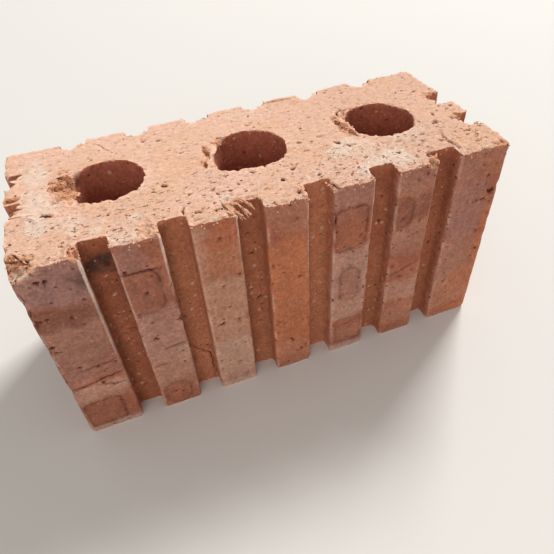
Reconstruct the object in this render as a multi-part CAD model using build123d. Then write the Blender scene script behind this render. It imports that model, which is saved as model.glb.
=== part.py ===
from build123d import *
import os
from math import floor

# Extruded clay brick, standing on the bed face that its cores open into. All sizes are millimetres.
# X runs along the brick, Y across it and Z up its cores. The origin is the middle of the bottom face.

# Overall size
length = 240
width = 100
height = 120

# Cores: round holes in one row along the middle, open at the top and at the bottom. The web is the
# wall between a short side and the nearest core.
core_count = 3
core_diameter = 36
end_web = 29

# Grooves that the die leaves in all four upright sides, as a key for mortar
groove_width = 12
groove_depth = 9

# Long sides: grooves evenly spaced about the middle, with at least this much brick left at each end
ridge_width = 22
least_end_ridge = 18

# Short sides: two grooves set off centre, counted from the left as one faces that side
left_ridge = 24
middle_ridge = 15
end_groove_count = 2

# Upright edges, rounded by the die: the brick's four corners, the mouths of the grooves and their roots
corner_radius = 4
arris_radius = 1.8
root_radius = 1.5

# Cut edges, worn to a small bevel all round the top face and the bottom face
top_bevel = 0.8
bottom_bevel = 1.2

# A rounding or bevel is at most this share of the wall that it lies on
largest_share = 0.45
# Two places nearer than this are the same place
same_place = 0.001


def fitted(size, wall):
    """Size of a rounding or bevel, made smaller where the wall is too thin for it."""
    return min(size, largest_share * wall)


def even_places(count, pitch):
    """Places of a row of equal steps, centred on zero."""
    return [(i - (count - 1) / 2) * pitch for i in range(count)]


def core_places():
    """Middle of each core, as an X value."""
    room = length - 2 * end_web - core_diameter
    return even_places(core_count, room / (core_count - 1))


def long_side_places():
    """Middle of each groove along a long side, as an X value."""
    pitch = groove_width + ridge_width
    room = length - 2 * least_end_ridge - groove_width
    return even_places(1 + floor(room / pitch), pitch)


def short_side_places():
    """Middle of each groove across the short side at +X, as a Y value."""
    first = left_ridge + groove_width / 2 - width / 2
    return [first + i * (groove_width + middle_ridge) for i in range(end_groove_count)]


def grooved_outline():
    """Outline of the brick from above, still sharp. Turned by half a turn it falls on itself."""
    outline = Rectangle(length, width)
    for x in long_side_places():
        notch = Rectangle(groove_width, 2 * groove_depth)
        outline -= [Pos(x, -width / 2) * notch, Pos(-x, width / 2) * notch]
    for y in short_side_places():
        notch = Rectangle(2 * groove_depth, groove_width)
        outline -= [Pos(length / 2, y) * notch, Pos(-length / 2, -y) * notch]
    return outline


def sides_touched(vertex):
    """How many of the brick's upright sides a corner of the outline lies on: none, one or two."""
    on_end = abs(abs(vertex.X) - length / 2) < same_place
    on_long_side = abs(abs(vertex.Y) - width / 2) < same_place
    return int(on_end) + int(on_long_side)


def rounded(outline, sides, radius):
    """Rounds the outline's corners that lie on this many sides."""
    corners = outline.vertices().filter_by(lambda vertex: sides_touched(vertex) == sides)
    return fillet(corners, radius)


def cored_section():
    """Section of the brick: rounded outline, less the cores."""
    narrowest_ridge = min(left_ridge, middle_ridge, ridge_width)
    outline = rounded(grooved_outline(), 0, fitted(root_radius, groove_width))
    outline = rounded(outline, 1, fitted(arris_radius, narrowest_ridge))
    outline = rounded(outline, 2, corner_radius)
    for x in core_places():
        outline -= Pos(x, 0) * Circle(core_diameter / 2)
    return outline


def make_brick():
    """The section drawn out to the brick's height, with its cut edges bevelled."""
    body = extrude(cored_section(), height)
    bottom_edges = body.faces().sort_by(Axis.Z)[0].edges()
    body = chamfer(bottom_edges, fitted(bottom_bevel, 2 * arris_radius))
    top_edges = body.faces().sort_by(Axis.Z)[-1].edges()
    return chamfer(top_edges, fitted(top_bevel, 2 * arris_radius))


os.makedirs("parts", exist_ok=True)
brick = make_brick()
brick.label = "brick"
export_step(brick, "parts/brick.step")
print(f"brick: {brick.volume / 1000:.1f} cm3, {len(brick.solids())} solid, valid {brick.is_valid}")
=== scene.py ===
import itertools
import math
import bmesh
import bpy
import numpy as np
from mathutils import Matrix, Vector
from mathutils.geometry import delaunay_2d_cdt
from mathutils.kdtree import KDTree


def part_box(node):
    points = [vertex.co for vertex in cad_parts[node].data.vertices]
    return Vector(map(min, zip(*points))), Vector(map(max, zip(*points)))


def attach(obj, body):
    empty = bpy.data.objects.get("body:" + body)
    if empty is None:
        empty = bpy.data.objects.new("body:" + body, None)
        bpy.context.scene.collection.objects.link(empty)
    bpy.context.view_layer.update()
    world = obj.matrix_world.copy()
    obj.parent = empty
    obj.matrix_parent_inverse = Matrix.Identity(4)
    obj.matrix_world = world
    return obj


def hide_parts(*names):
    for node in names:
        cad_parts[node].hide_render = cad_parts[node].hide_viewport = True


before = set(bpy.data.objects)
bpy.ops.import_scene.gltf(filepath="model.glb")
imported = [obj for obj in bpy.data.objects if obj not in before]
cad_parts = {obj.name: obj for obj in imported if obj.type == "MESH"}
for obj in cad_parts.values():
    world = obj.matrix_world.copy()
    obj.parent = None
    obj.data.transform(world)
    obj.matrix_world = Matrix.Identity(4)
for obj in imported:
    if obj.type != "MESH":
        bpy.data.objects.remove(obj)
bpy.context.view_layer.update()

# A fired clay brick, pushed through a die and cut by a wire. Its skin is one closed mesh: the walls are
# unrolled, divided and rolled up again, the cut faces are filled in between, and then every point is
# pushed in or out by the wear, tears, pits and cracks. Lengths are millimetres in the model's own
# frame until a mesh is made: X along the brick, Y across it and Z up, from the middle of the underside.
METRES = 0.001
SEED = 41

# Section, as the model has it
LENGTH, WIDTH, HEIGHT = (round((b - a) / METRES, 3) for a, b in zip(*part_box("brick")))
RIGHT, BACK = LENGTH / 2, WIDTH / 2
LEFT, FRONT = -RIGHT, -BACK
CORE_RADIUS = 18.0
CORE_PITCH = 73.0
CORE_PLACES = (-CORE_PITCH, 0.0, CORE_PITCH)
GROOVE_WIDTH = 12.0
GROOVE_DEPTH = 9.0
GROOVE_PITCH = 34.0
LONG_SIDE_GROOVES = [GROOVE_PITCH * place for place in (-2.5, -1.5, -0.5, 0.5, 1.5, 2.5)]
SHORT_SIDE_GROOVES = (-20.0, 7.0)
CORNER_RADIUS = 2.5
ARRIS_RADIUS = 1.8
ROOT_RADIUS = 1.5

# Mesh spacing: along arcs, flats and cores, between rows, on the cut faces and in torn places
ARC_STEP = 1.0
FLAT_STEP = 2.1
CORE_STEP = 1.5
CORE_SIDES = 360
SIDE_ROW = 2.3
CORE_ROW = 3.4
TOP_ROW = 0.5
BOTTOM_ROW = 0.7
ROW_GROWTH = 1.25
FINE_BAND = 2.6
TOP_STEP = 0.92
TORN_STEP = 0.62
BOTTOM_STEP = 2.4
GRID_SHAKE = 0.18

# Least distance of a mesh point from a wall's rim, an extra point and another extra point, and on the cut
# faces, as a share of their step, from an extra point and from the rim
RIM_GAP = 0.45
GRID_GAP = 0.55
EXTRA_GAP = 0.42
CAP_GAPS = (0.6, 0.5)
WELD_DIGITS = 4
ROUNDING = 0.01
CDT_TOLERANCE = 1e-6

# The wall stands this far inside the model's box, which leaves room for its roughness
SKIN_INSET = 0.35
CORE_INSET = 0.1
LEAST_INSET = 0.05
BOX_MARGIN = 0.02


# Noise

LATTICE = 64


def eased(part):
    """A share from 0 to 1, made to start and end gently."""
    return part * part * (3.0 - 2.0 * part)


def ramp(values, low, high):
    """0 below low, 1 above high and smooth between; low may be the larger one."""
    return eased(np.clip((values - low) / (high - low), 0.0, 1.0))


def between(values, low, high, soft):
    """1 from low to high and 0 outside, with soft ends."""
    return ramp(values, low - soft, low + soft) * ramp(values, high + soft, high - soft)


def noise(points, cell, seed, layers=1, fade=0.5):
    """Smooth random values, about -1 to 1. The cell is the size of a feature, one number or three, the
    seed picks the pattern, and each further layer is finer and fainter."""
    total = np.zeros(len(points))
    for layer in range(layers):
        lattice = np.random.default_rng(SEED + seed + layer).uniform(-1.0, 1.0, (LATTICE,) * 3)
        place = points / (np.asarray(cell, float) * 0.5 ** layer)
        corner = np.floor(place).astype(int)
        part = eased(place - corner)
        for step in itertools.product((0, 1), repeat=3):
            weight = np.prod(np.where(step, part, 1.0 - part), axis=1)
            i, j, k = ((corner + step) % LATTICE).T
            total += fade ** layer * weight * lattice[i, j, k]
    return total


def swing(points, strength, *pattern):
    """Noise of a given strength."""
    return strength * noise(points, *pattern)


# Outline

class Loop:
    """A closed line seen from above, unrolled: its places and outward directions by distance."""

    def __init__(self, places, normals, columns):
        self.places = np.array(places + places[:1])
        self.normals = np.array(normals + normals[:1])
        steps = np.linalg.norm(np.diff(self.places, axis=0), axis=1)
        self.distance = np.concatenate([[0.0], np.cumsum(steps)])
        self.total = self.distance[-1]
        self.columns = columns(self)

    def at(self, distance):
        """Place and outward direction at each distance."""
        place, normal = (
            np.stack([np.interp(distance, self.distance, values[:, i]) for i in (0, 1)], 1)
            for values in (self.places, self.normals)
        )
        return place, normal / np.linalg.norm(normal, axis=1, keepdims=True)


def notch(middle, along, outward):
    """The four corners of a groove in walking order, each with the radius that rounds it."""
    half = along * GROOVE_WIDTH / 2
    floor = middle - outward * GROOVE_DEPTH
    mouth = [(middle - half, ARRIS_RADIUS), (middle + half, ARRIS_RADIUS)]
    return [mouth[0], (floor - half, ROOT_RADIUS), (floor + half, ROOT_RADIUS), mouth[1]]


def section_corners():
    """Corners of the section, anticlockwise from the front left. Half a turn leaves it the same."""
    along_x, along_y = np.array([1.0, 0.0]), np.array([0.0, 1.0])
    corners = [(np.array([LEFT, FRONT]), CORNER_RADIUS)]
    for x in LONG_SIDE_GROOVES:
        corners += notch(np.array([x, FRONT]), along_x, -along_y)
    corners.append((np.array([RIGHT, FRONT]), CORNER_RADIUS))
    for y in SHORT_SIDE_GROOVES:
        corners += notch(np.array([RIGHT, y]), along_y, along_x)
    return corners + [(-place, radius) for place, radius in corners]


def rounded_corner(before, corner, after, radius):
    """Places and outward directions round one corner, starting and ending on its straight sides."""
    into = (corner - before) / np.linalg.norm(corner - before)
    out = (after - corner) / np.linalg.norm(after - corner)
    turn = np.sign(into[0] * out[1] - into[1] * out[0])
    left = np.array([-into[1], into[0]])
    centre = corner - into * radius + left * turn * radius
    count = max(2, math.ceil(radius * math.pi / 2 / ARC_STEP))
    angles = [i / count * math.pi / 2 for i in range(count + 1)]
    normals = [-left * math.cos(angle) + into * turn * math.sin(angle) for angle in angles]
    return [centre + outward * turn * radius for outward in normals], normals


def outline_columns(loop):
    """Where the unrolled wall is divided: at each step of its arcs, and evenly on its flats."""
    columns = []
    for start, end in zip(loop.distance[:-1], loop.distance[1:]):
        count = max(1, math.ceil((end - start) / FLAT_STEP - ROUNDING))
        columns += [start + (end - start) * i / count for i in range(count)]
    return np.array(columns + [loop.total])


def outline_loop():
    """The brick's rounded outline."""
    corners = section_corners()
    places, normals = [], []
    for i, (corner, radius) in enumerate(corners):
        after = corners[(i + 1) % len(corners)][0]
        arc_places, arc_normals = rounded_corner(corners[i - 1][0], corner, after, radius)
        places += arc_places
        normals += arc_normals
    return Loop(places, normals, outline_columns)


def core_columns(loop):
    """Where the unrolled wall of a core is divided."""
    return np.linspace(0.0, loop.total, round(loop.total / CORE_STEP) + 1)


def core_loop(x):
    """The rim of one core, walked clockwise, so that outward is away from the clay."""
    angles = [-2 * math.pi * i / CORE_SIDES for i in range(CORE_SIDES)]
    outward = [np.array([-math.cos(a), -math.sin(a)]) for a in angles]
    places = [np.array([x, 0.0]) - direction * CORE_RADIUS for direction in outward]
    return Loop(places, outward, core_columns)


# Mesh patches

SIDE, CORE, TOP, BOTTOM = range(4)


def graded(first, widest):
    """Distances from an edge, close together there and wider apart further in."""
    distances, step = [0.0], first
    while step < widest:
        distances.append(distances[-1] + step)
        step *= ROW_GROWTH
    return distances


def row_heights(widest):
    """Heights of the rows of a wall, from the underside to the top."""
    low = graded(BOTTOM_ROW, widest)
    high = [HEIGHT - distance for distance in reversed(graded(TOP_ROW, widest))]
    count = math.ceil((high[0] - low[-1]) / widest)
    middle = np.linspace(low[-1], high[0], count + 1)[1:-1]
    return np.concatenate([low, middle, high])


def finer(columns):
    """The same columns with two more in each gap."""
    gaps = columns[1:] - columns[:-1]
    added = [columns[:-1] + gaps * share for share in (1 / 3, 2 / 3)]
    return np.sort(np.concatenate([columns] + added))


def triangulated(points, edges=()):
    """Triangles over flat points; where closed lines are given, only those inside them."""
    vectors = [Vector(point) for point in points]
    found = delaunay_2d_cdt(vectors, list(edges), [], 1 if edges else 0, CDT_TOLERANCE)
    original = np.array([ids[0] for ids in found[3]])
    return original[np.array([face[:3] for face in found[2]])]


def nearest(points):
    """A tree that finds the nearest of some points, each of three values."""
    tree = KDTree(len(points))
    for i, point in enumerate(points):
        tree.insert(point, i)
    tree.balance()
    return tree


def cleared(points, extra, distance):
    """Flat points that are no nearer than distance to an extra one."""
    if not len(extra):
        return points
    tree = nearest([(u, v, 0.0) for u, v in extra])
    return points[np.array([tree.find((u, v, 0.0))[2] > distance for u, v in points])]


def as_patch(kind, places, normals, triangles):
    """A piece of the surface, before the pieces are joined."""
    return {"kind": kind, "places": places, "normals": normals, "triangles": triangles}


def wall_patch(loop, kind, extra):
    """A wall between the cut faces. Extra points are distance along it and height."""
    border, inner = [], []
    for height in row_heights(CORE_ROW if kind == CORE else SIDE_ROW):
        columns = finer(loop.columns) if height > HEIGHT - FINE_BAND else loop.columns
        row = np.stack([columns, np.full(len(columns), height)], 1)
        on_border = (columns <= 0) | (columns >= loop.total) | (height <= 0) | (height >= HEIGHT)
        border.append(row[on_border])
        inner.append(row[~on_border])
    inside = np.array(extra).reshape(-1, 2)
    clear = (inside > RIM_GAP) & (inside < np.array([loop.total, HEIGHT]) - RIM_GAP)
    inside = inside[clear.all(axis=1)]
    grid = cleared(np.concatenate(inner), inside, GRID_GAP)
    flat = np.concatenate(border + [grid, inside])
    place, normal = loop.at(flat[:, 0] % loop.total)
    places = np.column_stack([place, flat[:, 1]])
    return as_patch(kind, places, np.column_stack([normal, np.zeros(len(flat))]), triangulated(flat))


def inside_loop(points, loop):
    """Which points lie inside a closed line, by counting how often a ray crosses it."""
    inside = np.zeros(len(points), bool)
    x, y = points.T
    for (x0, y0), (x1, y1) in zip(loop, np.roll(loop, -1, axis=0)):
        if y0 != y1:
            crosses = (y0 > y) != (y1 > y)
            inside ^= crosses & (x < (x1 - x0) * (y - y0) / (y1 - y0) + x0)
    return inside


def cap_grid(step, rng):
    """Points of a slightly shaken triangular grid over the whole section."""
    points = []
    for j, y in enumerate(np.arange(FRONT, BACK, step * math.sqrt(3) / 2)):
        x = np.arange(LEFT + (j % 2) * step / 2, RIGHT, step)
        points.append(np.stack([x, np.full(len(x), y)], 1))
    points = np.concatenate(points)
    return points + rng.uniform(-GRID_SHAKE, GRID_SHAKE, points.shape) * step


def closed_lines(lines):
    """The edges of some closed lines, and for each of their points the number of its line."""
    edges, owner, start = [], [], 0
    for number, line in enumerate(lines):
        ids = start + np.arange(len(line))
        edges += list(zip(ids.tolist(), np.roll(ids, -1).tolist()))
        owner += [number] * len(line)
        start += len(line)
    return edges, owner


def cap_patch(loops, kind, height, step, extra):
    """A cut face: the outline filled, but for the cores."""
    lines = []
    for loop in loops:
        columns = finer(loop.columns) if kind == TOP else loop.columns
        lines.append(loop.at(columns[:-1] % loop.total)[0])
    border = np.concatenate(lines)
    points = cap_grid(step, np.random.default_rng(SEED + kind))
    points = cleared(points, extra, CAP_GAPS[0] * step)
    points = np.concatenate([points, np.array(extra).reshape(-1, 2)])
    points = points[inside_loop(points, lines[0])]
    for x in CORE_PLACES:
        points = points[np.hypot(points[:, 0] - x, points[:, 1]) > CORE_RADIUS]
    points = cleared(points, border, CAP_GAPS[1] * step)
    flat = np.concatenate([border, points])
    edges, owner = closed_lines(lines)
    triangles = triangulated(flat, edges)
    owners = np.array(owner + [-1] * len(points))[triangles]
    in_core = (owners[:, 0] > 0) & (owners == owners[:, :1]).all(axis=1)
    triangles = triangles[~in_core]
    if kind == BOTTOM:
        triangles = triangles[:, ::-1]
    places = np.column_stack([flat, np.full(len(flat), height)])
    return as_patch(kind, places, np.zeros(places.shape), triangles)


class Skin:
    """The patches joined into one closed surface, with what each of its points lies on."""

    def __init__(self, patches):
        places = np.concatenate([patch["places"] for patch in patches])
        rounded = np.round(places, WELD_DIGITS) + 0.0
        _, first, same = np.unique(rounded, axis=0, return_index=True, return_inverse=True)
        same = same.reshape(-1)
        start, triangles, flags = 0, [], np.zeros((len(first), 4), bool)
        wall = np.zeros((len(first), 3))
        for patch in patches:
            ids = same[start:start + len(patch["places"])]
            flags[ids, patch["kind"]] = True
            wall[ids] = np.where(np.abs(patch["normals"]) > 0, patch["normals"], wall[ids])
            triangles.append(ids[patch["triangles"]])
            start += len(ids)
        used, renumbered = np.unique(np.concatenate(triangles), return_inverse=True)
        self.triangles = renumbered.reshape(-1, 3)
        self.places = places[first][used]
        self.moved = self.places.copy()
        self.wall = wall[used]
        self.side, self.core, self.top, self.bottom = flags[used].T
        self.x, self.y, self.z = self.places.T
        self.flat = self.places * (1, 1, 0)
        self.below = HEIGHT - self.z
        self.groove = self.groove_share()
        self.on_arris = 2.0 * np.abs(self.wall[:, 0] * self.wall[:, 1])

    def groove_share(self):
        """How deep a point of the sides lies in a groove: 0 on a ridge, 1 on a groove's floor."""
        behind = np.minimum(RIGHT - np.abs(self.x), BACK - np.abs(self.y))
        return np.where(self.side, np.clip(behind / GROOVE_DEPTH, 0.0, 1.0), 0.0)

    def on_front(self, outside, inside):
        """1 on the front and 0 further back than it, with the limits as distances behind it."""
        return ramp(self.y, FRONT + outside, FRONT + inside)


# Damage seen in the photo. Top marks: x, y, half length, half width, depth, turn.
TOP_PITS = [
    (-101, -16.5, 1.7, 1.1, 1.4, 0), (-110, 6.5, 1.5, 0.9, 1.1, 50), (-115, 3, 1.8, 1.0, 1.1, 0),
    (-100, -26.5, 1.1, 0.8, 0.9, 0), (-76, -26, 0.9, 0.7, 0.9, 0), (-48, -15, 1.8, 1.0, 1.1, -40),
    (-39, -26.5, 1.0, 0.8, 1.3, 0), (-28, -26.5, 1.7, 0.7, 0.9, 20), (-27, -31.5, 1.3, 0.8, 0.9, -30),
    (-21, -31.5, 1.5, 1.0, 1.4, -30), (-39, -41, 1.8, 1.2, 1.1, 0), (-31, -43, 1.8, 1.1, 1.1, 0),
    (-14.5, -34.5, 1.0, 0.8, 0.9, 0), (-7, -21, 1.3, 0.8, 1.1, 0), (0.5, -18.5, 0.8, 1.0, 0.9, 0),
    (4, -33, 1.5, 1.2, 1.6, 60), (12, -26, 2.0, 0.9, 1.1, 0), (12.5, -36, 0.9, 0.7, 0.9, 0),
    (21, -36.5, 1.2, 0.8, 1.1, 0), (22, -31.7, 1.1, 0.8, 1.0, 0), (8, -45, 1.1, 1.0, 1.1, 0),
    (24, -4.5, 1.9, 0.8, 1.3, -25), (30.5, 9, 1.0, 1.3, 1.1, 0), (6, 25, 3.2, 1.0, 0.9, 12),
    (-0.7, 32.5, 0.8, 1.0, 0.9, 0), (36, -3.5, 2.1, 0.7, 0.9, 0), (42, -13, 1.3, 2.6, 1.3, 20),
    (46, -18, 2.2, 1.0, 1.0, -30), (34, -32.8, 1.4, 0.8, 0.9, 0), (48, -32, 1.7, 0.7, 0.9, 10),
    (35, -42.5, 0.9, 1.1, 1.0, 0), (70, -25, 3.0, 0.9, 0.8, 8), (84, -24, 1.2, 1.0, 1.0, 0),
    (81, -29, 2.0, 0.9, 0.9, -20), (89, -11.5, 1.6, 1.0, 1.0, 0), (108, -15.5, 1.2, 1.7, 1.2, 0),
    (111.5, -6, 1.0, 1.3, 1.2, 0), (116, -3, 1.7, 0.8, 1.0, 0), (110, -1, 1.0, 1.3, 0.9, 0),
    (108, 21.7, 1.6, 1.1, 1.1, 0), (102, 11, 1.7, 0.9, 0.9, 0), (101, -9, 0.9, 1.8, 1.0, 0),
    (97, -16, 1.7, 1.0, 1.0, 0), (93, -37, 0.9, 3.6, 0.9, 5), (90, -33.5, 1.7, 0.9, 0.9, 0),
    (106, -41, 1.8, 1.2, 0.9, 0), (108, -30.5, 1.4, 0.9, 0.9, 0), (78, -41.5, 1.8, 1.3, 1.2, 0),
    (65, -35, 1.1, 0.9, 0.9, 0), (77, 46, 1.2, 1.9, 0.9, 0), (87, 47, 1.0, 1.7, 0.9, 0),
    (69, 39, 2.1, 0.9, 0.8, 0), (-50, 33.5, 1.9, 1.8, 0.9, 0), (-43, 30, 1.4, 1.0, 1.0, 0),
    (-45, 41.5, 1.4, 1.0, 0.9, 0), (-78, 25, 0.9, 1.0, 0.9, 0), (-49, 19.5, 1.0, 0.6, 0.7, 0),
    (-34.5, 11, 1.2, 1.0, 1.0, 0), (-31, 11.7, 2.0, 0.5, 0.6, 0), (-25.5, -6, 1.0, 1.8, 0.8, 25),
]

# Cracks in the top: half width, depth, then the line
TOP_CRACKS = [
    (0.5, 1.2, [(-45.5, -40), (-44.6, -37.5), (-43.6, -34.5)]),
    (0.55, 1.5, [(-118, -38), (-115.5, -39), (-113.5, -42), (-111, -43.5), (-109.5, -49)]),
    (0.6, 0.6, [(-22.5, 12), (-22, 7), (-21.4, 2)]),
    (0.9, 1.0, [(49.5, 10), (50.5, 5), (51.5, 0), (53, -5), (55, -12)]),
    (0.7, 1.6, [(54.5, 13), (56, 17), (59.5, 20)]), (0.6, 1.5, [(23, -43), (24, -46), (26, -50)]),
    (0.35, 0.5, [(-74, 46), (-72, 40), (-70, 34), (-67.5, 30)]),
    (0.45, 1.0, [(-27.5, -38), (-27, -43), (-26, -48)]), (0.45, 0.8, [(93.5, -26), (93, -34), (94.5, -44)]),
]

# Bites out of edges: centre, then the half sizes of the ellipsoid that is cut away
BITES = [
    ((-91, 3, 123.5), (9.0, 14, 8.0)), ((-85.5, -2.5, 121), (2.2, 2.6, 6.0)),
    ((-120, -50, 124.5), (13, 12, 9.5)), ((-120, -34, 121), (1.8, 1.8, 5)), ((-119, -8, 121), (4.0, 3.4, 4)),
    ((-117.5, 2.5, 121), (3.4, 2.0, 4)), ((119, -24.5, 121), (3.2, 2.0, 6)),
    ((113, -14, 121), (2.6, 2.6, 5)), ((112, 11.5, 121), (2.4, 3.0, 6)), ((-22.4, 6, 121), (1.6, 6.5, 3.9)),
    ((-25.5, -5.5, 121), (1.3, 3.2, 2.5)), ((51.0, 5, 121), (1.9, 7.0, 3.9)),
    ((53.6, -6, 121), (1.8, 6.5, 3.9)), ((23, -50, 121.4), (3.4, 4.0, 4.5)),
    ((76, -50, 121.2), (3.0, 4.5, 5)), ((9, -50, 121), (2.4, 3.0, 3.4)), ((-60, -50, 121), (3.4, 2.6, 2.2)),
    ((-92.5, -48.5, 121.5), (3.4, 5.5, 4.0)), ((117, -51, 121), (5.5, 3.0, 3.2)),
    ((58, -50, 121), (2.4, 3.0, 3.0)),
]

# Torn clay pushed out over a core: core, angle in degrees, its spread, reach and depth
RIM_TONGUES = [
    (-73, 182, 46, 2.6, 9), (-73, 196, 10, -1.3, 9), (-73, 138, 15, -2.0, 16), (-73, 224, 15, -1.6, 16),
    (-73, 262, 10, 0.8, 3), (0, 214, 44, -5.8, 34), (0, 265, 36, -1.0, 20), (0, 163, 14, 1.0, 3),
    (0, 127, 12, -1.4, 14), (0, 181, 14, -1.8, 10), (0, 300, 26, -1.2, 20), (73, 182, 28, 2.2, 4),
    (73, 150, 14, 1.2, 3), (73, 240, 40, -1.2, 5), (73, 310, 30, -1.2, 5), (73, 95, 9, 0.8, 2.5),
    (73, 30, 30, 0.8, 3),
]

# Torn places round the top: x, y and half sizes
TORN = [
    (-93, 3, 6.0, 14.0), (-22.5, 6, 2.2, 8), (-25.5, -5, 2.2, 4), (-14, 13, 4, 3), (51.5, 0, 3.0, 12),
    (57.5, 12, 2.6, 5), (64, 17, 7, 1.6), (-21, -44, 3.0, 5), (-115, -45.5, 6.5, 6.5), (-117, -6, 4, 4.5),
    (-117, 3, 3.5, 3), (-119, 22, 2, 4), (114, 12, 5, 5), (114, -17, 5, 5), (77.5, -46, 3.0, 4.5),
    (-93, -47, 2.4, 4.5), (116, -48, 5, 3),
]

# Torn places along the front edge where the clay stayed pale
PALE_TORN = [
    (12, -48, 4, 3), (58, -46, 3, 5), (-100, -49.5, 8, 1.6), (-70, -49.5, 9, 1.8), (-36, -50, 9, 1.4),
    (0, -50, 9, 1.6), (35, -50, 9, 1.8), (70, -50, 9, 1.6), (102, -50, 9, 1.8), (-61, -43, 5, 4),
    (-95, -44, 4, 4), (9, -44, 4, 4), (-30, -44, 5, 3), (-25, -44, 3, 6), (-16, -40, 6, 2),
    (23.5, -47, 3, 4.5), (-62, -47, 5, 3), (-84, -14, 6, 2.5),
]

# Front marks are x, height, half width, half height and depth
FRONT_PITS = [
    (-110.5, 111.5, 2.2, 1.0, 1.6), (-107, 111, 2.5, 0.5, 0.8), (-113, 109.8, 1.2, 0.6, 1.0),
    (-108, 108, 0.9, 0.7, 0.8), (-117, 72, 1.9, 1.4, 1.7), (-115.5, 68, 1.0, 0.9, 1.0),
    (-110, 54, 1.8, 0.8, 1.3), (-94, 51, 1.1, 0.8, 0.9), (-103, 38, 1.4, 0.8, 1.1),
    (-100, 46.5, 0.8, 0.6, 0.8), (-99, 20, 1.2, 0.7, 0.8), (-113, 90, 1.2, 0.9, 1.2),
    (-96, 96, 1.1, 0.8, 1.0), (-103, 88, 0.9, 0.7, 0.9), (-85, 108, 3.6, 2.4, 0.35),
    (-82, 103, 1.2, 1.0, 0.9), (-76, 104, 1.2, 1.0, 1.1), (-69, 89, 1.1, 0.9, 1.1), (-58, 89, 1.0, 0.9, 1.1),
    (-59, 75, 0.8, 0.8, 0.9), (-57.5, 66, 1.1, 0.9, 1.1), (-78.5, 62, 1.0, 0.9, 0.9),
    (-70, 12, 0.9, 0.8, 0.8), (-39, 53, 1.6, 1.0, 1.3), (-42, 44, 1.5, 0.6, 0.8), (-28, 108, 0.8, 0.7, 0.8),
    (-26, 84, 1.2, 0.7, 1.0), (-40, 71, 0.8, 0.7, 0.8), (-14.5, 55.4, 2.0, 0.9, 1.2),
    (-18.7, 62.8, 1.0, 0.8, 0.9), (-16.6, 87, 1.2, 0.9, 0.9), (-10, 71, 1.3, 1.0, 1.3),
    (5, 71, 1.7, 0.7, 1.0), (-10, 58, 1.0, 0.8, 0.9), (0, 22, 1.0, 0.8, 1.0), (8, 15, 1.2, 1.2, 1.2),
    (2, 12, 0.8, 0.9, 0.9), (9, 38, 0.8, 0.8, 0.8), (-9, 33, 0.8, 0.9, 0.8), (24, 100, 0.9, 2.2, 1.6),
    (25, 93, 0.8, 1.4, 1.1), (24, 44, 0.8, 1.4, 1.0), (43, 48, 1.0, 1.2, 1.2), (43.5, 35, 0.9, 1.0, 1.0),
    (44, 56, 0.8, 0.8, 0.9), (31, 106, 0.9, 0.8, 0.9), (55.8, 37, 0.8, 1.0, 1.0),
    (55.5, 53.3, 0.8, 0.9, 0.9), (54, 84, 0.9, 1.6, 0.9), (60, 57, 1.2, 0.8, 1.0), (66, 47, 2.6, 0.9, 0.9),
    (73, 50, 1.0, 0.8, 0.8), (73, 39, 0.9, 0.7, 0.8), (88.5, 58, 1.0, 1.4, 1.1), (89.5, 62, 1.2, 1.0, 1.0),
    (97, 38, 1.0, 0.6, 0.8), (115, 91, 1.9, 1.8, 2.0), (111, 87, 1.9, 0.9, 1.2), (113, 46, 1.2, 1.1, 1.2),
    (117, 76, 0.9, 0.9, 0.9), (95, 59, 1.8, 0.7, 0.9),
]

# Cracks in the front: half width, depth, then the line as x and height
FRONT_CRACKS = [
    (0.8, 1.2, [(-119.5, 38.5), (-113, 38.6), (-107, 39.8), (-100, 41.5), (-95, 42), (-91.5, 43)]),
    (0.45, 1.0, [(-106, 37.5), (-102, 36.8), (-98.5, 35), (-95.5, 34.5), (-92, 34)]),
    (0.35, 0.8, [(-112, 51), (-104, 51.5), (-97, 52), (-91.5, 53.5)]),
    (0.5, 1.0, [(-81, 103), (-75, 102.2), (-68, 102.5), (-60, 101)]),
    (0.5, 0.9, [(-70, 47.5), (-66, 49), (-61, 49.8), (-57, 49.5)]),
    (0.4, 0.85, [(-56.5, 36.5), (-54.4, 32.3), (-51.3, 28.6), (-47.6, 25.5), (-46.1, 21), (-46, 10),
     (-46, 1)]),
    (0.45, 0.8, [(-78.5, 36), (-74, 37.5), (-69, 37)]),
    (0.45, 0.7, [(58, 50), (64, 51), (70, 53.5), (76, 56)]),
    (0.3, 0.35, [(24, 19), (30, 20), (36, 21.5), (43, 24)]),
    (0.4, 0.6, [(-20, 36), (-16, 37.2), (-12, 36.8)]),
    (0.35, 0.8, [(-119.3, 109), (-118.6, 106), (-118.2, 103.5), (-116.8, 104)]),
    (0.3, 0.5, [(-113, 108), (-113.5, 106.5), (-116, 106)]),
]

# Marks that other bricks left in the kiln: x, height, half width, half height, corner radius, strength
FRONT_RINGS = [
    (-108, 15, 9.5, 10, 3, 1.2), (-72, 89.5, 9.5, 13.5, 7, 1.2), (-69, 11, 7, 9, 6.5, 0.8),
    (33, 92, 8.5, 13, 3, 1.3), (33.5, 54, 5.5, 12, 5.4, 1.2), (61, 93, 6.5, 9.5, 6.4, 1.0),
    (34.5, 16.5, 8, 9.5, 2, 0.9),
]

# Cracks are broken into steps and shaken sideways. Extra mesh points follow them, beside their edges.
CRACK_STEP = 1.6
CRACK_SHAKE = 0.34
CRACK_POINT_STEP = 0.75
CRACK_POINT_MARGIN = 0.1


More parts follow.
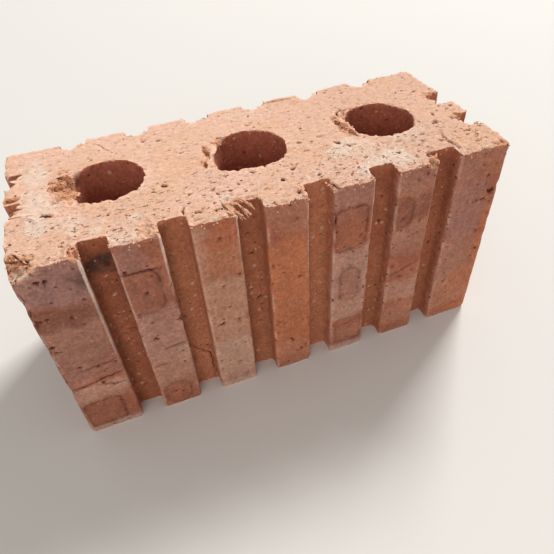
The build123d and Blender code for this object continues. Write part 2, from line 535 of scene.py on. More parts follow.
def rough_cracks(cracks, seed):
    """The same cracks with their lines broken up and shaken sideways."""
    rng = np.random.default_rng(SEED + seed)
    rough = []
    for half_width, depth, line in cracks:
        points = []
        for a, b in zip(np.array(line[:-1], float), np.array(line[1:], float)):
            count = max(1, round(np.linalg.norm(b - a) / CRACK_STEP))
            points += [a + (b - a) * i / count + rng.normal(0.0, CRACK_SHAKE, 2) for i in range(count)]
        points.append(np.array(line[-1], float))
        rough.append((half_width, depth, np.array(points)))
    return rough


TOP_CRACKS = rough_cracks(TOP_CRACKS, 1)
FRONT_CRACKS = rough_cracks(FRONT_CRACKS, 2)


def turned(x, y, angle):
    """Flat places in axes turned by an angle in degrees."""
    c, s = math.cos(math.radians(angle)), math.sin(math.radians(angle))
    return x * c + y * s, y * c - x * s


def line_distance(points, line):
    """How far each flat point is from a broken line, and how far along the line it is, 0 to 1."""
    best = np.full(len(points), np.inf)
    share = np.zeros(len(points))
    for i, (a, b) in enumerate(zip(line[:-1], line[1:])):
        span = b - a
        part = np.clip((points - a) @ span / (span @ span), 0.0, 1.0)
        distance = np.linalg.norm(points - a - part[:, None] * span, axis=1)
        share = np.where(distance < best, (i + part) / (len(line) - 1), share)
        best = np.minimum(best, distance)
    return best, share


def ring_distance(points, ring):
    """Signed distance from a rounded rectangle, below 0 inside it."""
    x, z, half_x, half_z, radius = ring[:5]
    away = np.abs(points - (x, z)) - (half_x - radius, half_z - radius)
    outside = np.linalg.norm(np.maximum(away, 0.0), axis=1)
    return outside + np.minimum(away.max(axis=1), 0.0) - radius


def area_reach(x, y, area):
    """Distance from the middle of an area given by its middle and half sizes, which is 1 at its rim."""
    middle_x, middle_y, half_x, half_y = area
    return np.hypot((x - middle_x) / half_x, (y - middle_y) / half_y)


# The rings of extra points that give a pit its shape: how far out, as a share of its size, and how many
PIT_RINGS = ((0.55, 6), (1.05, 9))


def pit_points(x, z, half_x, half_z):
    """Extra mesh points that give a pit its shape: its middle and two rings."""
    points = [(x, z)]
    for share, count in PIT_RINGS:
        for i in range(count):
            angle = 2 * math.pi * i / count
            points.append((x + half_x * share * math.cos(angle), z + half_z * share * math.sin(angle)))
    return points


def crack_points(half_width, _, line):
    """Extra mesh points along a crack: its middle line and its two edges."""
    points = []
    for a, b in zip(line[:-1], line[1:]):
        span = b - a
        length = np.linalg.norm(span)
        side = np.array([-span[1], span[0]]) / length * (half_width + CRACK_POINT_MARGIN)
        count = max(2, math.ceil(length / CRACK_POINT_STEP))
        for part in np.linspace(0.0, 1.0, count, endpoint=False):
            points += [tuple(a + part * span + offset * side) for offset in (-1.0, 0.0, 1.0)]
    return points


# Extra points of a kiln mark: how many for each millimetre of its half sizes, the rows beside its outline,
# and how often the range that holds the outline is halved to find it
RING_POINTS = 4.5
RING_ROWS = (-1.1, -0.4, 0.3, 1.0)
HALVINGS = 16


def ring_points(ring):
    """Extra mesh points along a kiln mark, where its outline lies in each direction."""
    middle = np.array(ring[:2])
    furthest = ring[2] + ring[3]
    count = round(furthest * RING_POINTS)
    angles = 2 * math.pi * np.arange(count) / count
    away = np.stack([np.cos(angles), np.sin(angles)], 1)
    inside, outside = np.zeros(count), np.full(count, furthest)
    for _ in range(HALVINGS):
        reach = (inside + outside) / 2
        within = ring_distance(middle + away * reach[:, None], ring) < 0
        inside, outside = np.where(within, reach, inside), np.where(within, outside, reach)
    rows = [middle + away * (inside + offset)[:, None] for offset in RING_ROWS]
    return [tuple(point) for row in rows for point in row]


# Random pits over all four sides: how many, how near to the rims, their half sizes, how much longer they
# may be than that, and their depths
PIT_COUNT = 190
PIT_HEIGHTS = (1.5, HEIGHT - 3.0)
PIT_WIDTHS = (0.4, 0.9)
PIT_STRETCH = (1.0, 1.9)
PIT_TALLNESS = (0.35, 0.75)
PIT_DEPTHS = (0.4, 1.1)


class Scatter:
    """Random pits over all four sides, as distance along the outline and height."""

    def __init__(self, loop):
        rng = np.random.default_rng(SEED)
        self.s = rng.uniform(0.0, loop.total, PIT_COUNT)
        self.z = rng.uniform(*PIT_HEIGHTS, PIT_COUNT)
        self.half_s = rng.uniform(*PIT_WIDTHS, PIT_COUNT) * rng.uniform(*PIT_STRETCH, PIT_COUNT)
        self.half_z = rng.uniform(*PIT_TALLNESS, PIT_COUNT)
        self.depth = rng.uniform(*PIT_DEPTHS, PIT_COUNT)
        place, normal = loop.at(self.s)
        self.place = np.column_stack([place, self.z])
        self.along = np.column_stack([-normal[:, 1], normal[:, 0], np.zeros(PIT_COUNT)])

    def points(self):
        """Extra mesh points for the pits."""
        rows = zip(self.s, self.z, self.half_s, self.half_z)
        return [point for row in rows for point in pit_points(*row)]


# The outline starts with the front, which its grooves make longer than the brick by less than this factor
FRONT_STRETCH = 1.6


def front_distance(loop, x):
    """Distance along the outline at which the front is at x. Grooves make it longer than x is."""
    y = loop.places[:, 1]
    on_front = (y < FRONT + GROOVE_DEPTH + 0.5) & (loop.distance < FRONT_STRETCH * LENGTH)
    return np.interp(x, loop.places[on_front, 0], loop.distance[on_front])


def front_extra(loop):
    """Extra mesh points for what the photo shows on the front, in unrolled places."""
    points = []
    for *area, _ in FRONT_PITS:
        points += pit_points(*area)
    for crack in FRONT_CRACKS:
        points += crack_points(*crack)
    for ring in FRONT_RINGS:
        points += ring_points(ring)
    points = np.array(points)
    return np.column_stack([front_distance(loop, points[:, 0]), points[:, 1]])


def thinned(points):
    """Points with those left out that are too near to an earlier one."""
    kept, cells = [], {}
    for u, v in points:
        i, j = int(u // EXTRA_GAP), int(v // EXTRA_GAP)
        near = [cells.get((i + a, j + b), ()) for a in (-1, 0, 1) for b in (-1, 0, 1)]
        if all(math.dist((u, v), other) >= EXTRA_GAP for group in near for other in group):
            kept.append((u, v))
            cells.setdefault((i, j), []).append((u, v))
    return np.array(kept)


# How far the extra points reach over a torn place, as a share of its half sizes
TORN_GRID_REACH = 1.05


def torn_points(x, y, half_x, half_y):
    """A fine grid of extra mesh points over a torn place."""
    for u in np.arange(-half_x, half_x, TORN_STEP):
        for v in np.arange(-half_y, half_y, TORN_STEP):
            if math.hypot(u / half_x, v / half_y) < TORN_GRID_REACH:
                yield x + u, y + v


def top_extra():
    """Extra mesh points for the cracks, pits and torn places of the top."""
    points = []
    for crack in TOP_CRACKS:
        points += crack_points(*crack)
    for x, y, half_length, half_width, _, turn in TOP_PITS:
        for u, v in pit_points(0.0, 0.0, half_length, half_width):
            along, across = turned(u, v, -turn)
            points.append((x + along, y + across))
    for area in TORN + PALE_TORN:
        points += torn_points(*area)
    return thinned(points)


def build_skin(scatter, loop):
    """The whole brick as one closed skin, not yet worn."""
    cores = [core_loop(x) for x in CORE_PLACES]
    patches = [wall_patch(loop, SIDE, thinned(np.concatenate([front_extra(loop), scatter.points()])))]
    patches += [wall_patch(core, CORE, []) for core in cores]
    patches.append(cap_patch([loop] + cores, TOP, HEIGHT, TOP_STEP, top_extra()))
    patches.append(cap_patch([loop] + cores, BOTTOM, 0.0, BOTTOM_STEP, []))
    return Skin(patches)


# Wear. Each noise is given as its strength, the size of its features, its seed and its layers.

# Height of the cut top at its corners: front left, front right, back right, back left, and how far it
# swells between its front and its back
TOP_CORNERS = (119.3, 118.5, 118.2, 118.7)
TOP_SWELL = 0.75
TOP_WAVES = (0.25, 26.0, 5)
TILT_REACH = 14.0

# Where the top dips along its front edge: the middle, half the length, how much and how far in
FRONT_SAG = (18.0, 64.0, 0.6, 9.0)


def top_height(x, y):
    """Height of the cut top, which isn't quite level."""
    u = x / LENGTH + 0.5
    v = y / WIDTH + 0.5
    front = TOP_CORNERS[0] * (1 - u) + TOP_CORNERS[1] * u
    back = TOP_CORNERS[3] * (1 - u) + TOP_CORNERS[2] * u
    return front * (1 - v) + back * v + TOP_SWELL * (1 - (2 * v - 1) ** 2)


def settle_top(skin):
    """Lowers the top to the height of the wire's cut, and the walls just below with it."""
    middle, half, dip, reach = FRONT_SAG
    drop = HEIGHT - top_height(skin.x, skin.y) - swing(skin.flat, *TOP_WAVES)
    drop += dip * ramp(np.abs(skin.x - middle) / half, 1.1, 0.5) * skin.on_front(reach, 0.0)
    skin.moved[:, 2] -= drop * np.clip(1.0 - skin.below / TILT_REACH, 0.0, 1.0)


# Relief of the walls. The cores and the grooves are the torn ones.
WALL_RELIEF = ((0.132, 24.0, 10, 3), (0.10, (2.4, 2.4, 50.0), 20, 3), (0.07, 2.2, 30, 2))
TORN_RELIEF = (0.30, (3.5, 3.5, 5.0), 40, 3)
CORE_TORN = 0.8


def wall_roughness(skin):
    """How far the walls lie behind the smooth skin: waves, die marks, grain and torn grooves."""
    inset = np.where(skin.core, CORE_INSET, SKIN_INSET)
    torn = swing(skin.places, *TORN_RELIEF) * np.where(skin.core, CORE_TORN, skin.groove)
    return inset + torn + sum(swing(skin.places, *relief) for relief in WALL_RELIEF)


# The rough band: from and to height, softness; the bruised corner; and a rough patch on the fifth ridge
BAND_WOBBLE = (4.0, 9.0, 50)
BAND = (85, 101, 3)
BAND_ENDS = (-92, -96)
CORNER_STRENGTH = 1.4
CORNER_ENDS = (-113, -118)
CORNER_RISE = (30, 40)
ROUGH_PATCH = (34, 90, 10, 12)
ROUGH_PATCH_STRENGTH = 0.6


def rough_band(skin):
    """The pitted band across the left ridge and the bruised left corner, 0 to 1."""
    wobble = swing(skin.places, *BAND_WOBBLE)
    band = between(skin.z + wobble, *BAND) * ramp(skin.x, *BAND_ENDS)
    corner = ramp(skin.x + 0.6 * wobble, *CORNER_ENDS) * ramp(skin.z, *CORNER_RISE)
    patch = ramp(area_reach(skin.x, skin.z, ROUGH_PATCH), 1.1, 0.8)
    areas = [band, CORNER_STRENGTH * corner, ROUGH_PATCH_STRENGTH * patch]
    return skin.on_front(6, 2) * np.maximum.reduce(areas)


# Chips out of the upright edges: their noise and the level that it counts from; how much they wear the
# arrises, the brick's corners and its front left corner; how deep in a groove an arris ends; and from
# what height the front left corner is worn more
EDGE_CHIPS = (1.0, (3.2, 3.2, 4.2), 52, 3)
CHIP_LEVEL = 0.05
CHIP_SHARES = (0.5, 0.4, 0.5)
ARRIS_ENDS = (0.35, 0.1)
LEFT_CORNER_RISE = (40, 56)


def upright_wear(skin):
    """How far the upright edges are knocked back: most on the front left corner."""
    chips = np.maximum(0.0, swing(skin.places, *EDGE_CHIPS) - CHIP_LEVEL)
    arris = skin.on_arris * ramp(skin.groove, *ARRIS_ENDS)
    corner = ramp(np.abs(skin.x), RIGHT - 5, RIGHT - 1) * ramp(np.abs(skin.y), BACK - 8, BACK - 2)
    left_front = corner * ramp(skin.x, 0, -10) * ramp(skin.y, 0, -10) * ramp(skin.z, *LEFT_CORNER_RISE)
    worn = zip(CHIP_SHARES, (arris, corner, left_front))
    return chips * sum(share * place for share, place in worn)


# Torn clay left at the top of the grooves: x, y, half sizes, how far it stands out and its depth
EDGE_BURRS = [
    (-111, -10.5, 7, 11, 8.5, 9), (-111, 16, 7, 11, 7.5, 8), (-114, -13, 6, 3, 2.4, 5),
    (112, 4, 5, 3, 1.2, 3), (112, -26, 6, 2, 1.2, 3), (-25, -47, 2, 5, 1.4, 3), (22.5, -46, 2, 4, 1.0, 2.5),
    (79.5, -46, 2, 4, 1.3, 3.5), (-17, -41, 6, 2, 1.0, 2),
]

# Over the grooves of the back: how far it stands out at one side of the groove and at the other, its depth,
# and how ragged all of it is
BACK_BURR = (3.0, 9.0)
BACK_BURR_DEPTH = 3.0
BURR_MIDDLE = 0.55
BURR_WOBBLE = (0.45, 3.0, 53)


def burr_reach(skin):
    """How far the wire dragged clay out over the grooves, just below the top."""
    reach = np.zeros(len(skin.x))
    for *area, distance, depth in EDGE_BURRS:
        burr = distance * ramp(area_reach(skin.x, skin.y, area), 1.0, 0.4)
        reach = np.maximum(reach, burr * ramp(skin.below, depth, 0.0))
    back = ramp(skin.y, BACK - 12, BACK - 9) * ramp(skin.groove, 0.4, 0.9)
    offset = np.min([np.abs(skin.x - x - GROOVE_WIDTH / 2) for x in LONG_SIDE_GROOVES], axis=0)
    span = BACK_BURR[0] + (BACK_BURR[1] - BACK_BURR[0]) * ramp(offset, 7.0, 0.0)
    reach = np.maximum(reach, span * back * ramp(skin.below, BACK_BURR_DEPTH, 0.0))
    return np.where(skin.side, reach * (BURR_MIDDLE + swing(skin.places, *BURR_WOBBLE)), 0.0)


# How uneven the rim of a pit is, and where its slope starts and ends as a share of its size
RIM_UNEVENNESS = 0.8
PIT_SLOPE = (1.1, 0.4)


def dent_depth(u, v, half_u, half_v, depth, wobble):
    """Depth of a pit with an uneven rim at places given from its middle."""
    reach = np.sqrt((u / half_u) ** 2 + (v / half_v) ** 2) * (1.0 + RIM_UNEVENNESS * wobble)
    return depth * ramp(reach, *PIT_SLOPE)


# Size of the pits of the front as a share of what is written above; how blunt the ends of its cracks and of
# the top's are; and where a crack's slope starts, as a share of its half width, and ends
FRONT_PIT_SIZE = 0.85
CRACK_ENDS = (0.15, 0.2)
CRACK_SLOPE = (1.3, 0.1)
PIT_WOBBLE = (1.0, 1.7)


def marked_dents(skin, ids, flat, pits, cracks, seed, blunt, hollow):
    """Adds the pits and cracks that the photo shows on one face, at flat places on it."""
    wobble = swing(skin.places[ids], *PIT_WOBBLE, seed, 2)
    for u, v, half_u, half_v, depth, turn in pits:
        along, across = turned(flat[:, 0] - u, flat[:, 1] - v, turn)
        dent = dent_depth(along, across, half_u, half_v, depth, wobble)
        hollow[ids] = np.maximum(hollow[ids], dent)
    for half_width, depth, line in cracks:
        distance, share = line_distance(flat, line)
        taper = np.sqrt(np.clip(4 * share * (1 - share) + blunt, 0, 1))
        crack = depth * taper * ramp(distance, half_width * CRACK_SLOPE[0], CRACK_SLOPE[1])
        hollow[ids] = np.maximum(hollow[ids], crack)


def front_dents(skin, hollow):
    """Adds the pits and cracks of the front."""
    ids = np.nonzero(skin.side & (skin.y < FRONT + GROOVE_DEPTH + 0.1))[0]
    pits = [(x, z, FRONT_PIT_SIZE * a, FRONT_PIT_SIZE * b, depth, 0) for x, z, a, b, depth in FRONT_PITS]
    flat = skin.places[ids][:, (0, 2)]
    marked_dents(skin, ids, flat, pits, FRONT_CRACKS, 60, CRACK_ENDS[0], hollow)


def top_dents(skin, hollow):
    """Adds the pits and cracks of the top."""
    ids = np.nonzero(skin.top)[0]
    marked_dents(skin, ids, skin.places[ids][:, :2], TOP_PITS, TOP_CRACKS, 91, CRACK_ENDS[1], hollow)


# No random pit reaches further than this from its middle
PIT_REACH = 3.0


def scattered_dents(skin, scatter, hollow):
    """Adds the random pits of all four sides."""
    ids = np.nonzero(skin.side)[0]
    places = skin.places[ids]
    wobble = swing(places, *PIT_WOBBLE, 61, 2)
    pits = zip(scatter.place, scatter.along, scatter.half_s, scatter.half_z, scatter.depth)
    for place, direction, half_s, half_z, depth in pits:
        away = places - place
        near = np.nonzero(np.abs(away).max(axis=1) < PIT_REACH)[0]
        dent = dent_depth(away[near] @ direction, away[near, 2], half_s, half_z, depth, wobble[near])
        hollow[ids[near]] = np.maximum(hollow[ids[near]], dent)


# Pits of the rough band: their noise, the levels from which and to which it deepens them, and their depth
BAND_PITS = (1.0, (2.6, 2.6, 1.9), 62)
BAND_PIT_LEVELS = (0.25, 0.7)
BAND_PIT_DEPTH = 0.8


def band_pitting(skin, hollow):
    """Close small pits where the rough band is."""
    pits = ramp(swing(skin.places, *BAND_PITS), *BAND_PIT_LEVELS)
    dent = BAND_PIT_DEPTH * pits * rough_band(skin)
    np.maximum(hollow, np.where(skin.side, dent, 0.0), out=hollow)


# Wear of the rims: what there is at least, the noises added to it, each cut off below a level, how much more
# the cores' rims have, and where in the noise it is read
LEAST_RIM_WEAR = 0.10
RIM_WEAR = ((0.80, 1.5, 70, 0.0), (0.45, 2.8, 73, 0.0), (0.8, 7.0, 71, 0.25))
CORE_RIM_WEAR = 1.35
RIM_NOISE_PLACE = (0, 0, 11)


def rim_wear(skin):
    """How far the cut edges are worn back, by place along them."""
    wear = LEAST_RIM_WEAR
    for strength, cell, seed, level in RIM_WEAR:
        wear = wear + strength * np.maximum(0.0, noise(skin.flat + RIM_NOISE_PLACE, cell, seed) - level)
    return wear * np.where(skin.core, CORE_RIM_WEAR, 1.0)


# How far the wire drew the rim of each core towards the back, and down to what depth
RIM_DRAGS = (2.2, 0.9, 0.4)
DRAG_DEPTH = 16.0


def on_core(skin, x):
    """Which points lie at the core that has its middle at x."""
    return skin.core & (np.abs(skin.x - x) < CORE_RADIUS + 1)


def drag_rims(skin):
    """Moves the upper part of the cores' walls with the wire."""
    for x, drag in zip(CORE_PLACES, RIM_DRAGS):
        skin.moved[:, 1] += on_core(skin, x) * drag * ramp(skin.below, DRAG_DEPTH, 0.0)


# How ragged the torn places are, how soft their edge is, and how far down they reach
TORN_WOBBLE = (0.4, 3.0, 55, 3)
TORN_EDGE = (1.15, 0.7)
TORN_DEPTHS = (8.0, 2.5)


def torn_share(skin, areas):
    """How torn the clay is round the top, 0 to 1, in a list of areas."""
    wobble = swing(skin.places * (1.0, 1.0, 0.5), *TORN_WOBBLE)
    share = np.zeros(len(skin.x))
    for area in areas:
        share = np.maximum(share, ramp(area_reach(skin.x, skin.y, area) + wobble, *TORN_EDGE))
    return share * ramp(skin.below, *TORN_DEPTHS)


# Lumps of the torn places: how large along X, Y and Z, how far they sink, and their noises
TORN_LUMPS = (0.45, 0.45, 0.80)
TORN_SINK = (0.0, 0.0, 0.25)
COARSE_LUMPS = (1.9, 56)
FINE_LUMPS = (1.1, 62)


def break_up(skin, torn):
    """Breaks the torn places up into lumps and hollows."""
    lumps = np.zeros(skin.places.shape)
    for strength, (cell, seed) in ((1.0, COARSE_LUMPS), (0.7, FINE_LUMPS)):
        lumps += np.stack([swing(skin.places, strength, cell, seed + axis) for axis in range(3)], 1)
    skin.moved += torn[:, None] * (lumps * TORN_LUMPS - TORN_SINK)


# How ragged the torn clay over the cores is
TONGUE_WOBBLE = (0.3, 2.0, 72)


def tongue_reach(skin):
    """How far torn clay reaches out over the cores, and where the rim is broken back instead."""
    reach = np.zeros(len(skin.x))
    for x, angle, spread, distance, depth in RIM_TONGUES:
        around = np.degrees(np.arctan2(skin.y, skin.x - x)) % 360
        off = np.abs((around - angle + 180) % 360 - 180)
        reach += on_core(skin, x) * distance * ramp(off, spread, 0) * ramp(skin.below, depth, 0)
    return reach * (1.0 + swing(skin.places, *TONGUE_WOBBLE))


# How far from the top and from the underside the rims' wear reaches, and how strong it is there
RIM_REACHES = ((0.9, 1.0), (1.1, 0.8))


def wear_walls(skin, scatter):
    """Moves the walls in or out. Returns how hollow each point became."""
    hollow = np.zeros(len(skin.x))
    front_dents(skin, hollow)
    scattered_dents(skin, scatter, hollow)
    band_pitting(skin, hollow)
    ends = zip((skin.below, skin.z), RIM_REACHES)
    edge = rim_wear(skin) * sum(share * np.exp(-(away / reach) ** 2) for away, (reach, share) in ends)
    inward = wall_roughness(skin) + upright_wear(skin) + hollow + edge
    inward -= tongue_reach(skin) + burr_reach(skin)
    on_ridge = skin.side & (skin.groove < 0.05)
    inward = np.where(on_ridge, np.maximum(inward, LEAST_INSET), inward)
    skin.moved -= skin.wall * inward[:, None]
    drag_rims(skin)
    return hollow


# How torn the cut faces are at least, and from which Y to which they get torn all over
LEAST_BUSY = 0.25
BUSY_WOBBLE = (9.0, 11.0, 89)
BUSY_EDGE = (-8, -26)


def busy_share(skin):
    """How much the wire tore each part of the cut faces: most towards the front."""
    torn = ramp(skin.y + swing(skin.flat, *BUSY_WOBBLE), *BUSY_EDGE)
    return LEAST_BUSY + (1 - LEAST_BUSY) * torn


# Texture of the cut faces: the way of the wire's drag in degrees; its streaks, grit and swell; and its tears
# with the levels from which and to which they deepen
DRAG_ANGLE = 4.0
CUT_RELIEF = ((0.14, (13.0, 1.9, 9.0), 80, 3), (0.22, (2.6, 1.9, 9.0), 84, 2), (0.14, 14.0, 88))
TEARS = (1.0, (3.0, 1.6, 9.0), 90)
TEAR_LEVELS = (0.5, 0.85)
TEAR_DEPTH = 0.80


def cut_texture(skin):
    """Depth of the torn texture of the cut faces, which runs with the wire's drag, and its tears."""
    flat = np.column_stack([*turned(skin.x, skin.y, DRAG_ANGLE), np.full(len(skin.x), 3.0)])
    torn = ramp(swing(flat, *TEARS), *TEAR_LEVELS) * busy_share(skin)
    return TEAR_DEPTH * torn + sum(swing(flat, *relief) for relief in CUT_RELIEF), torn


# How far in from its rim a cut face follows the rim's wear, at least; how much of the wear rounds it and how
# far in; how far it may stand up; how hollow its tears look; and how much of all this the underside has,
# below 0 because it wears upwards
RIM_PULL = 3.5
RIM_ROUNDING = (0.5, 0.8)
HIGHEST_GRIT = 0.3
TEAR_HOLLOW = 0.6
UNDERSIDE = -0.3


def wear_cut_face(skin, face, sign, hollow):
    """Tears, pits and rounds a cut face, and draws its points along with its worn rim."""
    depth, tears = cut_texture(skin)
    share, width = RIM_ROUNDING
    wear = rim_wear(skin)
    ids = np.nonzero(face & (skin.side | skin.core))[0]
    tree = nearest(skin.places[ids])
    shift = skin.moved - skin.places
    shift[:, 2] = 0.0
    for i in np.nonzero(face)[0]:
        _, found, distance = tree.find(skin.places[i])
        rim = ids[found]
        edge = share * wear[rim] * math.exp(-(distance / width) ** 2)
        skin.moved[i, 2] -= sign * (max(depth[i], -HIGHEST_GRIT) + hollow[i] + edge)
        if distance > 0:
            reach = max(RIM_PULL, 2.0 * float(np.linalg.norm(shift[rim])))
            skin.moved[i] += shift[rim] * max(0.0, 1.0 - distance / reach)
    np.maximum(hollow, np.where(face, TEAR_HOLLOW * tears, 0.0), out=hollow)


# How ragged a bite is, and how far round it the clay looks freshly broken, as a share of its size
BITE_WOBBLE = (0.22, 2.6, 95, 3)
BITE_FRESH = (1.25, 1.0)


def take_bites(skin):
    """Breaks chips out of the edges. Returns 1 where the broken clay shows."""
    fresh = np.zeros(len(skin.x))
    limit = 1.0 + swing(skin.places, *BITE_WOBBLE)
    for centre, sizes in BITES:
        away = (skin.moved - centre) / sizes
        reach = np.linalg.norm(away, axis=1)
        inside = reach < limit
        push = np.where(inside, limit / np.maximum(reach, 0.05), 1.0)
        skin.moved = np.where(inside[:, None], centre + away * push[:, None] * sizes, skin.moved)
        fresh = np.maximum(fresh, ramp(reach, *BITE_FRESH))
    return fresh


def inside_box(points):
    """Points kept inside the model's box."""
    low = np.array([LEFT, FRONT, 0.0]) + (BOX_MARGIN, BOX_MARGIN, 0.0)
    return np.clip(points, low, np.array([RIGHT, BACK, HEIGHT]) - BOX_MARGIN)


# Colour masks

class Masks(dict):
    """Values from 0 to 1 for each point of the skin, under the names that the material reads."""

    def lift(self, name, values):
        """Raises a mask to these values where they are higher."""
        self[name] = np.maximum(self.get(name, 0.0), values)


# Patches of colour on the front: mask, strength, from x, to x, from height, to height; then how soft they
# are, and how they are shaken along X and Z
FRONT_PATCHES = [
    ("lilac", 0.9, -122, -90, 98, 122), ("lilac", 0.4, -122, -90, 42, 84), ("lilac", 0.6, -78, -66, 70, 122),
    ("lilac", 0.4, -80, -56, 46, 80), ("lilac", 0.5, 22, 46, 98, 122), ("lilac", 0.3, 22, 46, 42, 80),
    ("lilac", 0.2, 56, 80, 60, 82), ("lilac", 0.35, 56, 80, 104, 122), ("lilac", 0.6, 92, 111, 62, 100),
    ("lilac", 0.3, 92, 108, 34, 118), ("lilac", 0.35, -46, -22, -2, 9), ("lilac", 0.6, 22, 46, -2, 6),
    ("lilac", 0.3, -12, 12, -2, 7), ("lilac", 1.0, -116, -90, -6, 4.5), ("tan", 0.9, -46, -22, -2, 84),
    ("tan", 0.5, -46, -22, 84, 100), ("tan", 0.7, -46, -38, 92, 118), ("tan", 0.4, -116, -94, 56, 84),
    ("tan", 0.25, -116, -94, 42, 58), ("tan", 0.55, -80, -56, 16, 50), ("tan", 0.6, -118, -92, 23, 38),
    ("tan", 0.5, 22, 46, 27, 80), ("tan", 0.45, 22, 46, 70, 80), ("tan", 0.4, 56, 80, 26, 46),
    ("tan", 0.3, 56, 80, 64, 82), ("tan", 0.3, 90, 108, 20, 60), ("orange", 0.9, -12, 13, 4, 98),
    ("orange", 0.45, -40, -22, 84, 122), ("orange", 1.0, 25, 43, 9, 26), ("orange", 0.6, 100, 122, -2, 40),
    # The orange strip at the right edge, x 114 to 122, is a painted reflection of orange light on the
    # rounded edge
    ("orange", 0.7, 114, 122, 20, 84), ("orange", 0.5, 24, 44, 82, 96), ("orange", 0.35, 56, 80, 6, 22),
    ("orange", 0.4, 90, 106, 4, 22), ("dark", 0.75, -97, -91, 103, 112), ("dark", 0.5, -122, -90, 82, 97),
    # The dark strip down the left corner, x -126 to -117.5, is partly wear and partly painted shade where
    # the corner turns away from the light
    ("dark", 0.28, 56, 80, 84, 100), ("dark", 0.3, -126, -117.5, 8, 92), ("dark", 0.14, -80, -56, 78, 100),
    # The pale patches low on the ridges, below about 45 high, are painted light: the lower part lit by light
    # off the ground
    ("dark", 0.12, -122, -90, 46, 80), ("pale", 0.1, 22, 46, 44, 79), ("pale", 0.14, 22, 46, 26, 44),
    ("pale", 0.1, 56, 80, 28, 44), ("pale", 0.16, -46, -22, 8, 40), ("pale", 0.12, -122, -90, 27, 37),
    ("pale", 0.1, -80, -56, 24, 76), ("pale", 0.08, -10, 122, 8, 20),
]
PATCH_SOFTNESS = 2.8
PATCH_WOBBLES = ((2.6, 9.0, 100, 4, 0.6), (3.4, 12.0, 104, 4, 0.6))


def front_colours(skin, masks):
    """Patches of colour that the photo shows on the front."""
    u, w = (place + swing(skin.places, *wobble) for place, wobble in zip((skin.x, skin.z), PATCH_WOBBLES))
    front = skin.on_front(7, 3) * skin.side
    for name, strength, x0, x1, z0, z1 in FRONT_PATCHES:
        patch = between(u, x0, x1, PATCH_SOFTNESS) * between(w, z0, z1, PATCH_SOFTNESS)
        masks.lift(name, strength * front * patch)


# How much darker a groove is at its top than at its foot, how dark each groove of the front and the others
# are, and the noises of both
GROOVE_FADE = 0.4
GROOVE_SHADES = (0.75, 0.22, 0.5, 0.05, 0.5, 0.68)
OTHER_GROOVES = 0.4
FRONT_SHADE = (0.15, 8.0, 107)
OTHER_SHADE = (0.4, (20.0, 20.0, 40.0), 106, 3)

# Soot on a groove's floor: x, height, half sizes and strength
FLOOR_SOOT = [(-83.5, 107, 5.5, 4.8, 1.0), (-88.5, 104.5, 3.6, 3.6, 0.95), (-85, 103.5, 8.0, 5.0, 0.6)]
SOOT_WOBBLE = (0.4, 2.6, 108, 3)
SOOT_EDGE = (1.3, 0.5)
FLOOR_DEPTH = 0.6


def groove_colours(skin, masks):
    """Grooves of the front, each as dark as the photo shows it, and the others at random."""
    shade = OTHER_GROOVES + swing(skin.places, *OTHER_SHADE)
    # Painted shading: the front grooves are darker towards their top and lighter towards their foot
    fade = GROOVE_FADE * (skin.z / HEIGHT - 0.5) + swing(skin.places, *FRONT_SHADE)
    for x, level in zip(LONG_SIDE_GROOVES, GROOVE_SHADES):
        shade = np.where((skin.y < 0) & (np.abs(skin.x - x) < GROOVE_WIDTH), level + fade, shade)
    masks.lift("shade", np.clip(shade, 0.0, 1.0))
    wobble = swing(skin.places, *SOOT_WOBBLE)
    floor = skin.side & (skin.y < 0) & (skin.groove > FLOOR_DEPTH)
    for *area, strength in FLOOR_SOOT:
        soot = ramp(area_reach(skin.x, skin.z, area) + wobble, *SOOT_EDGE)
        masks.lift("dark", floor * strength * soot)


# Uneven colour of the unseen sides: mask, seed and the level that its noise starts at; how strong it is, how
# large its patches are and how soft their edge is
SIDE_COLOURS = (("lilac", 110, 0.0), ("tan", 114, 0.1), ("orange", 118, 0.05))
SIDE_STRENGTH = 0.8
SIDE_PATCH = 17.0
SIDE_EDGE = 0.6


def side_colours(skin, masks):
    """Uneven colour from the kiln on the sides that the photo doesn't show."""
    unseen = np.where(skin.side, skin.on_front(3, 7), 0.0)
    for name, seed, low in SIDE_COLOURS:
        uneven = noise(skin.places * (1.0, 1.0, 0.35), SIDE_PATCH, seed, 3)
        masks.lift(name, SIDE_STRENGTH * unseen * ramp(uneven, low, low + SIDE_EDGE))


# Kiln marks: how wide their outline is, how it breaks up and wavers, and how ruddy they are inside
RING_WIDTH = 0.85
RING_GAPS = (0.38, 4.5, 120)
RING_WOBBLE = (0.4, 6.0, 121)
RING_RUDDINESS = 0.75


def kiln_rings(skin, masks, rings, on_wall):
    """Darker outlines where other bricks stood against a long side in the kiln."""
    broken = 1.0 - RING_GAPS[0] + swing(skin.places, *RING_GAPS)
    wobble = swing(skin.places, *RING_WOBBLE)
    for ring in rings:
        distance = ring_distance(skin.places[:, (0, 2)], ring) + wobble
        line = np.exp(-(distance / RING_WIDTH) ** 2) * broken * ring[5]
        masks.lift("scorch", on_wall * np.minimum(1.0, line))
        inside = on_wall * ramp(distance, 0.5, -1.5) * ring[5]
        masks.lift("ruddy", RING_RUDDINESS * np.minimum(1.0, inside))


# Kiln marks of the back: the ridges that have one, how far it may be off the ridge's middle, its height and
# half height, from and to, and its half width, corner radius and strength
BACK_RIDGES = (-68, -34, 34, 68)
BACK_RING_SHIFT = 2
BACK_RING_HEIGHTS = (22, 96)
BACK_RING_SIZES = (7, 12)
BACK_RING = (7, 6, 0.6)


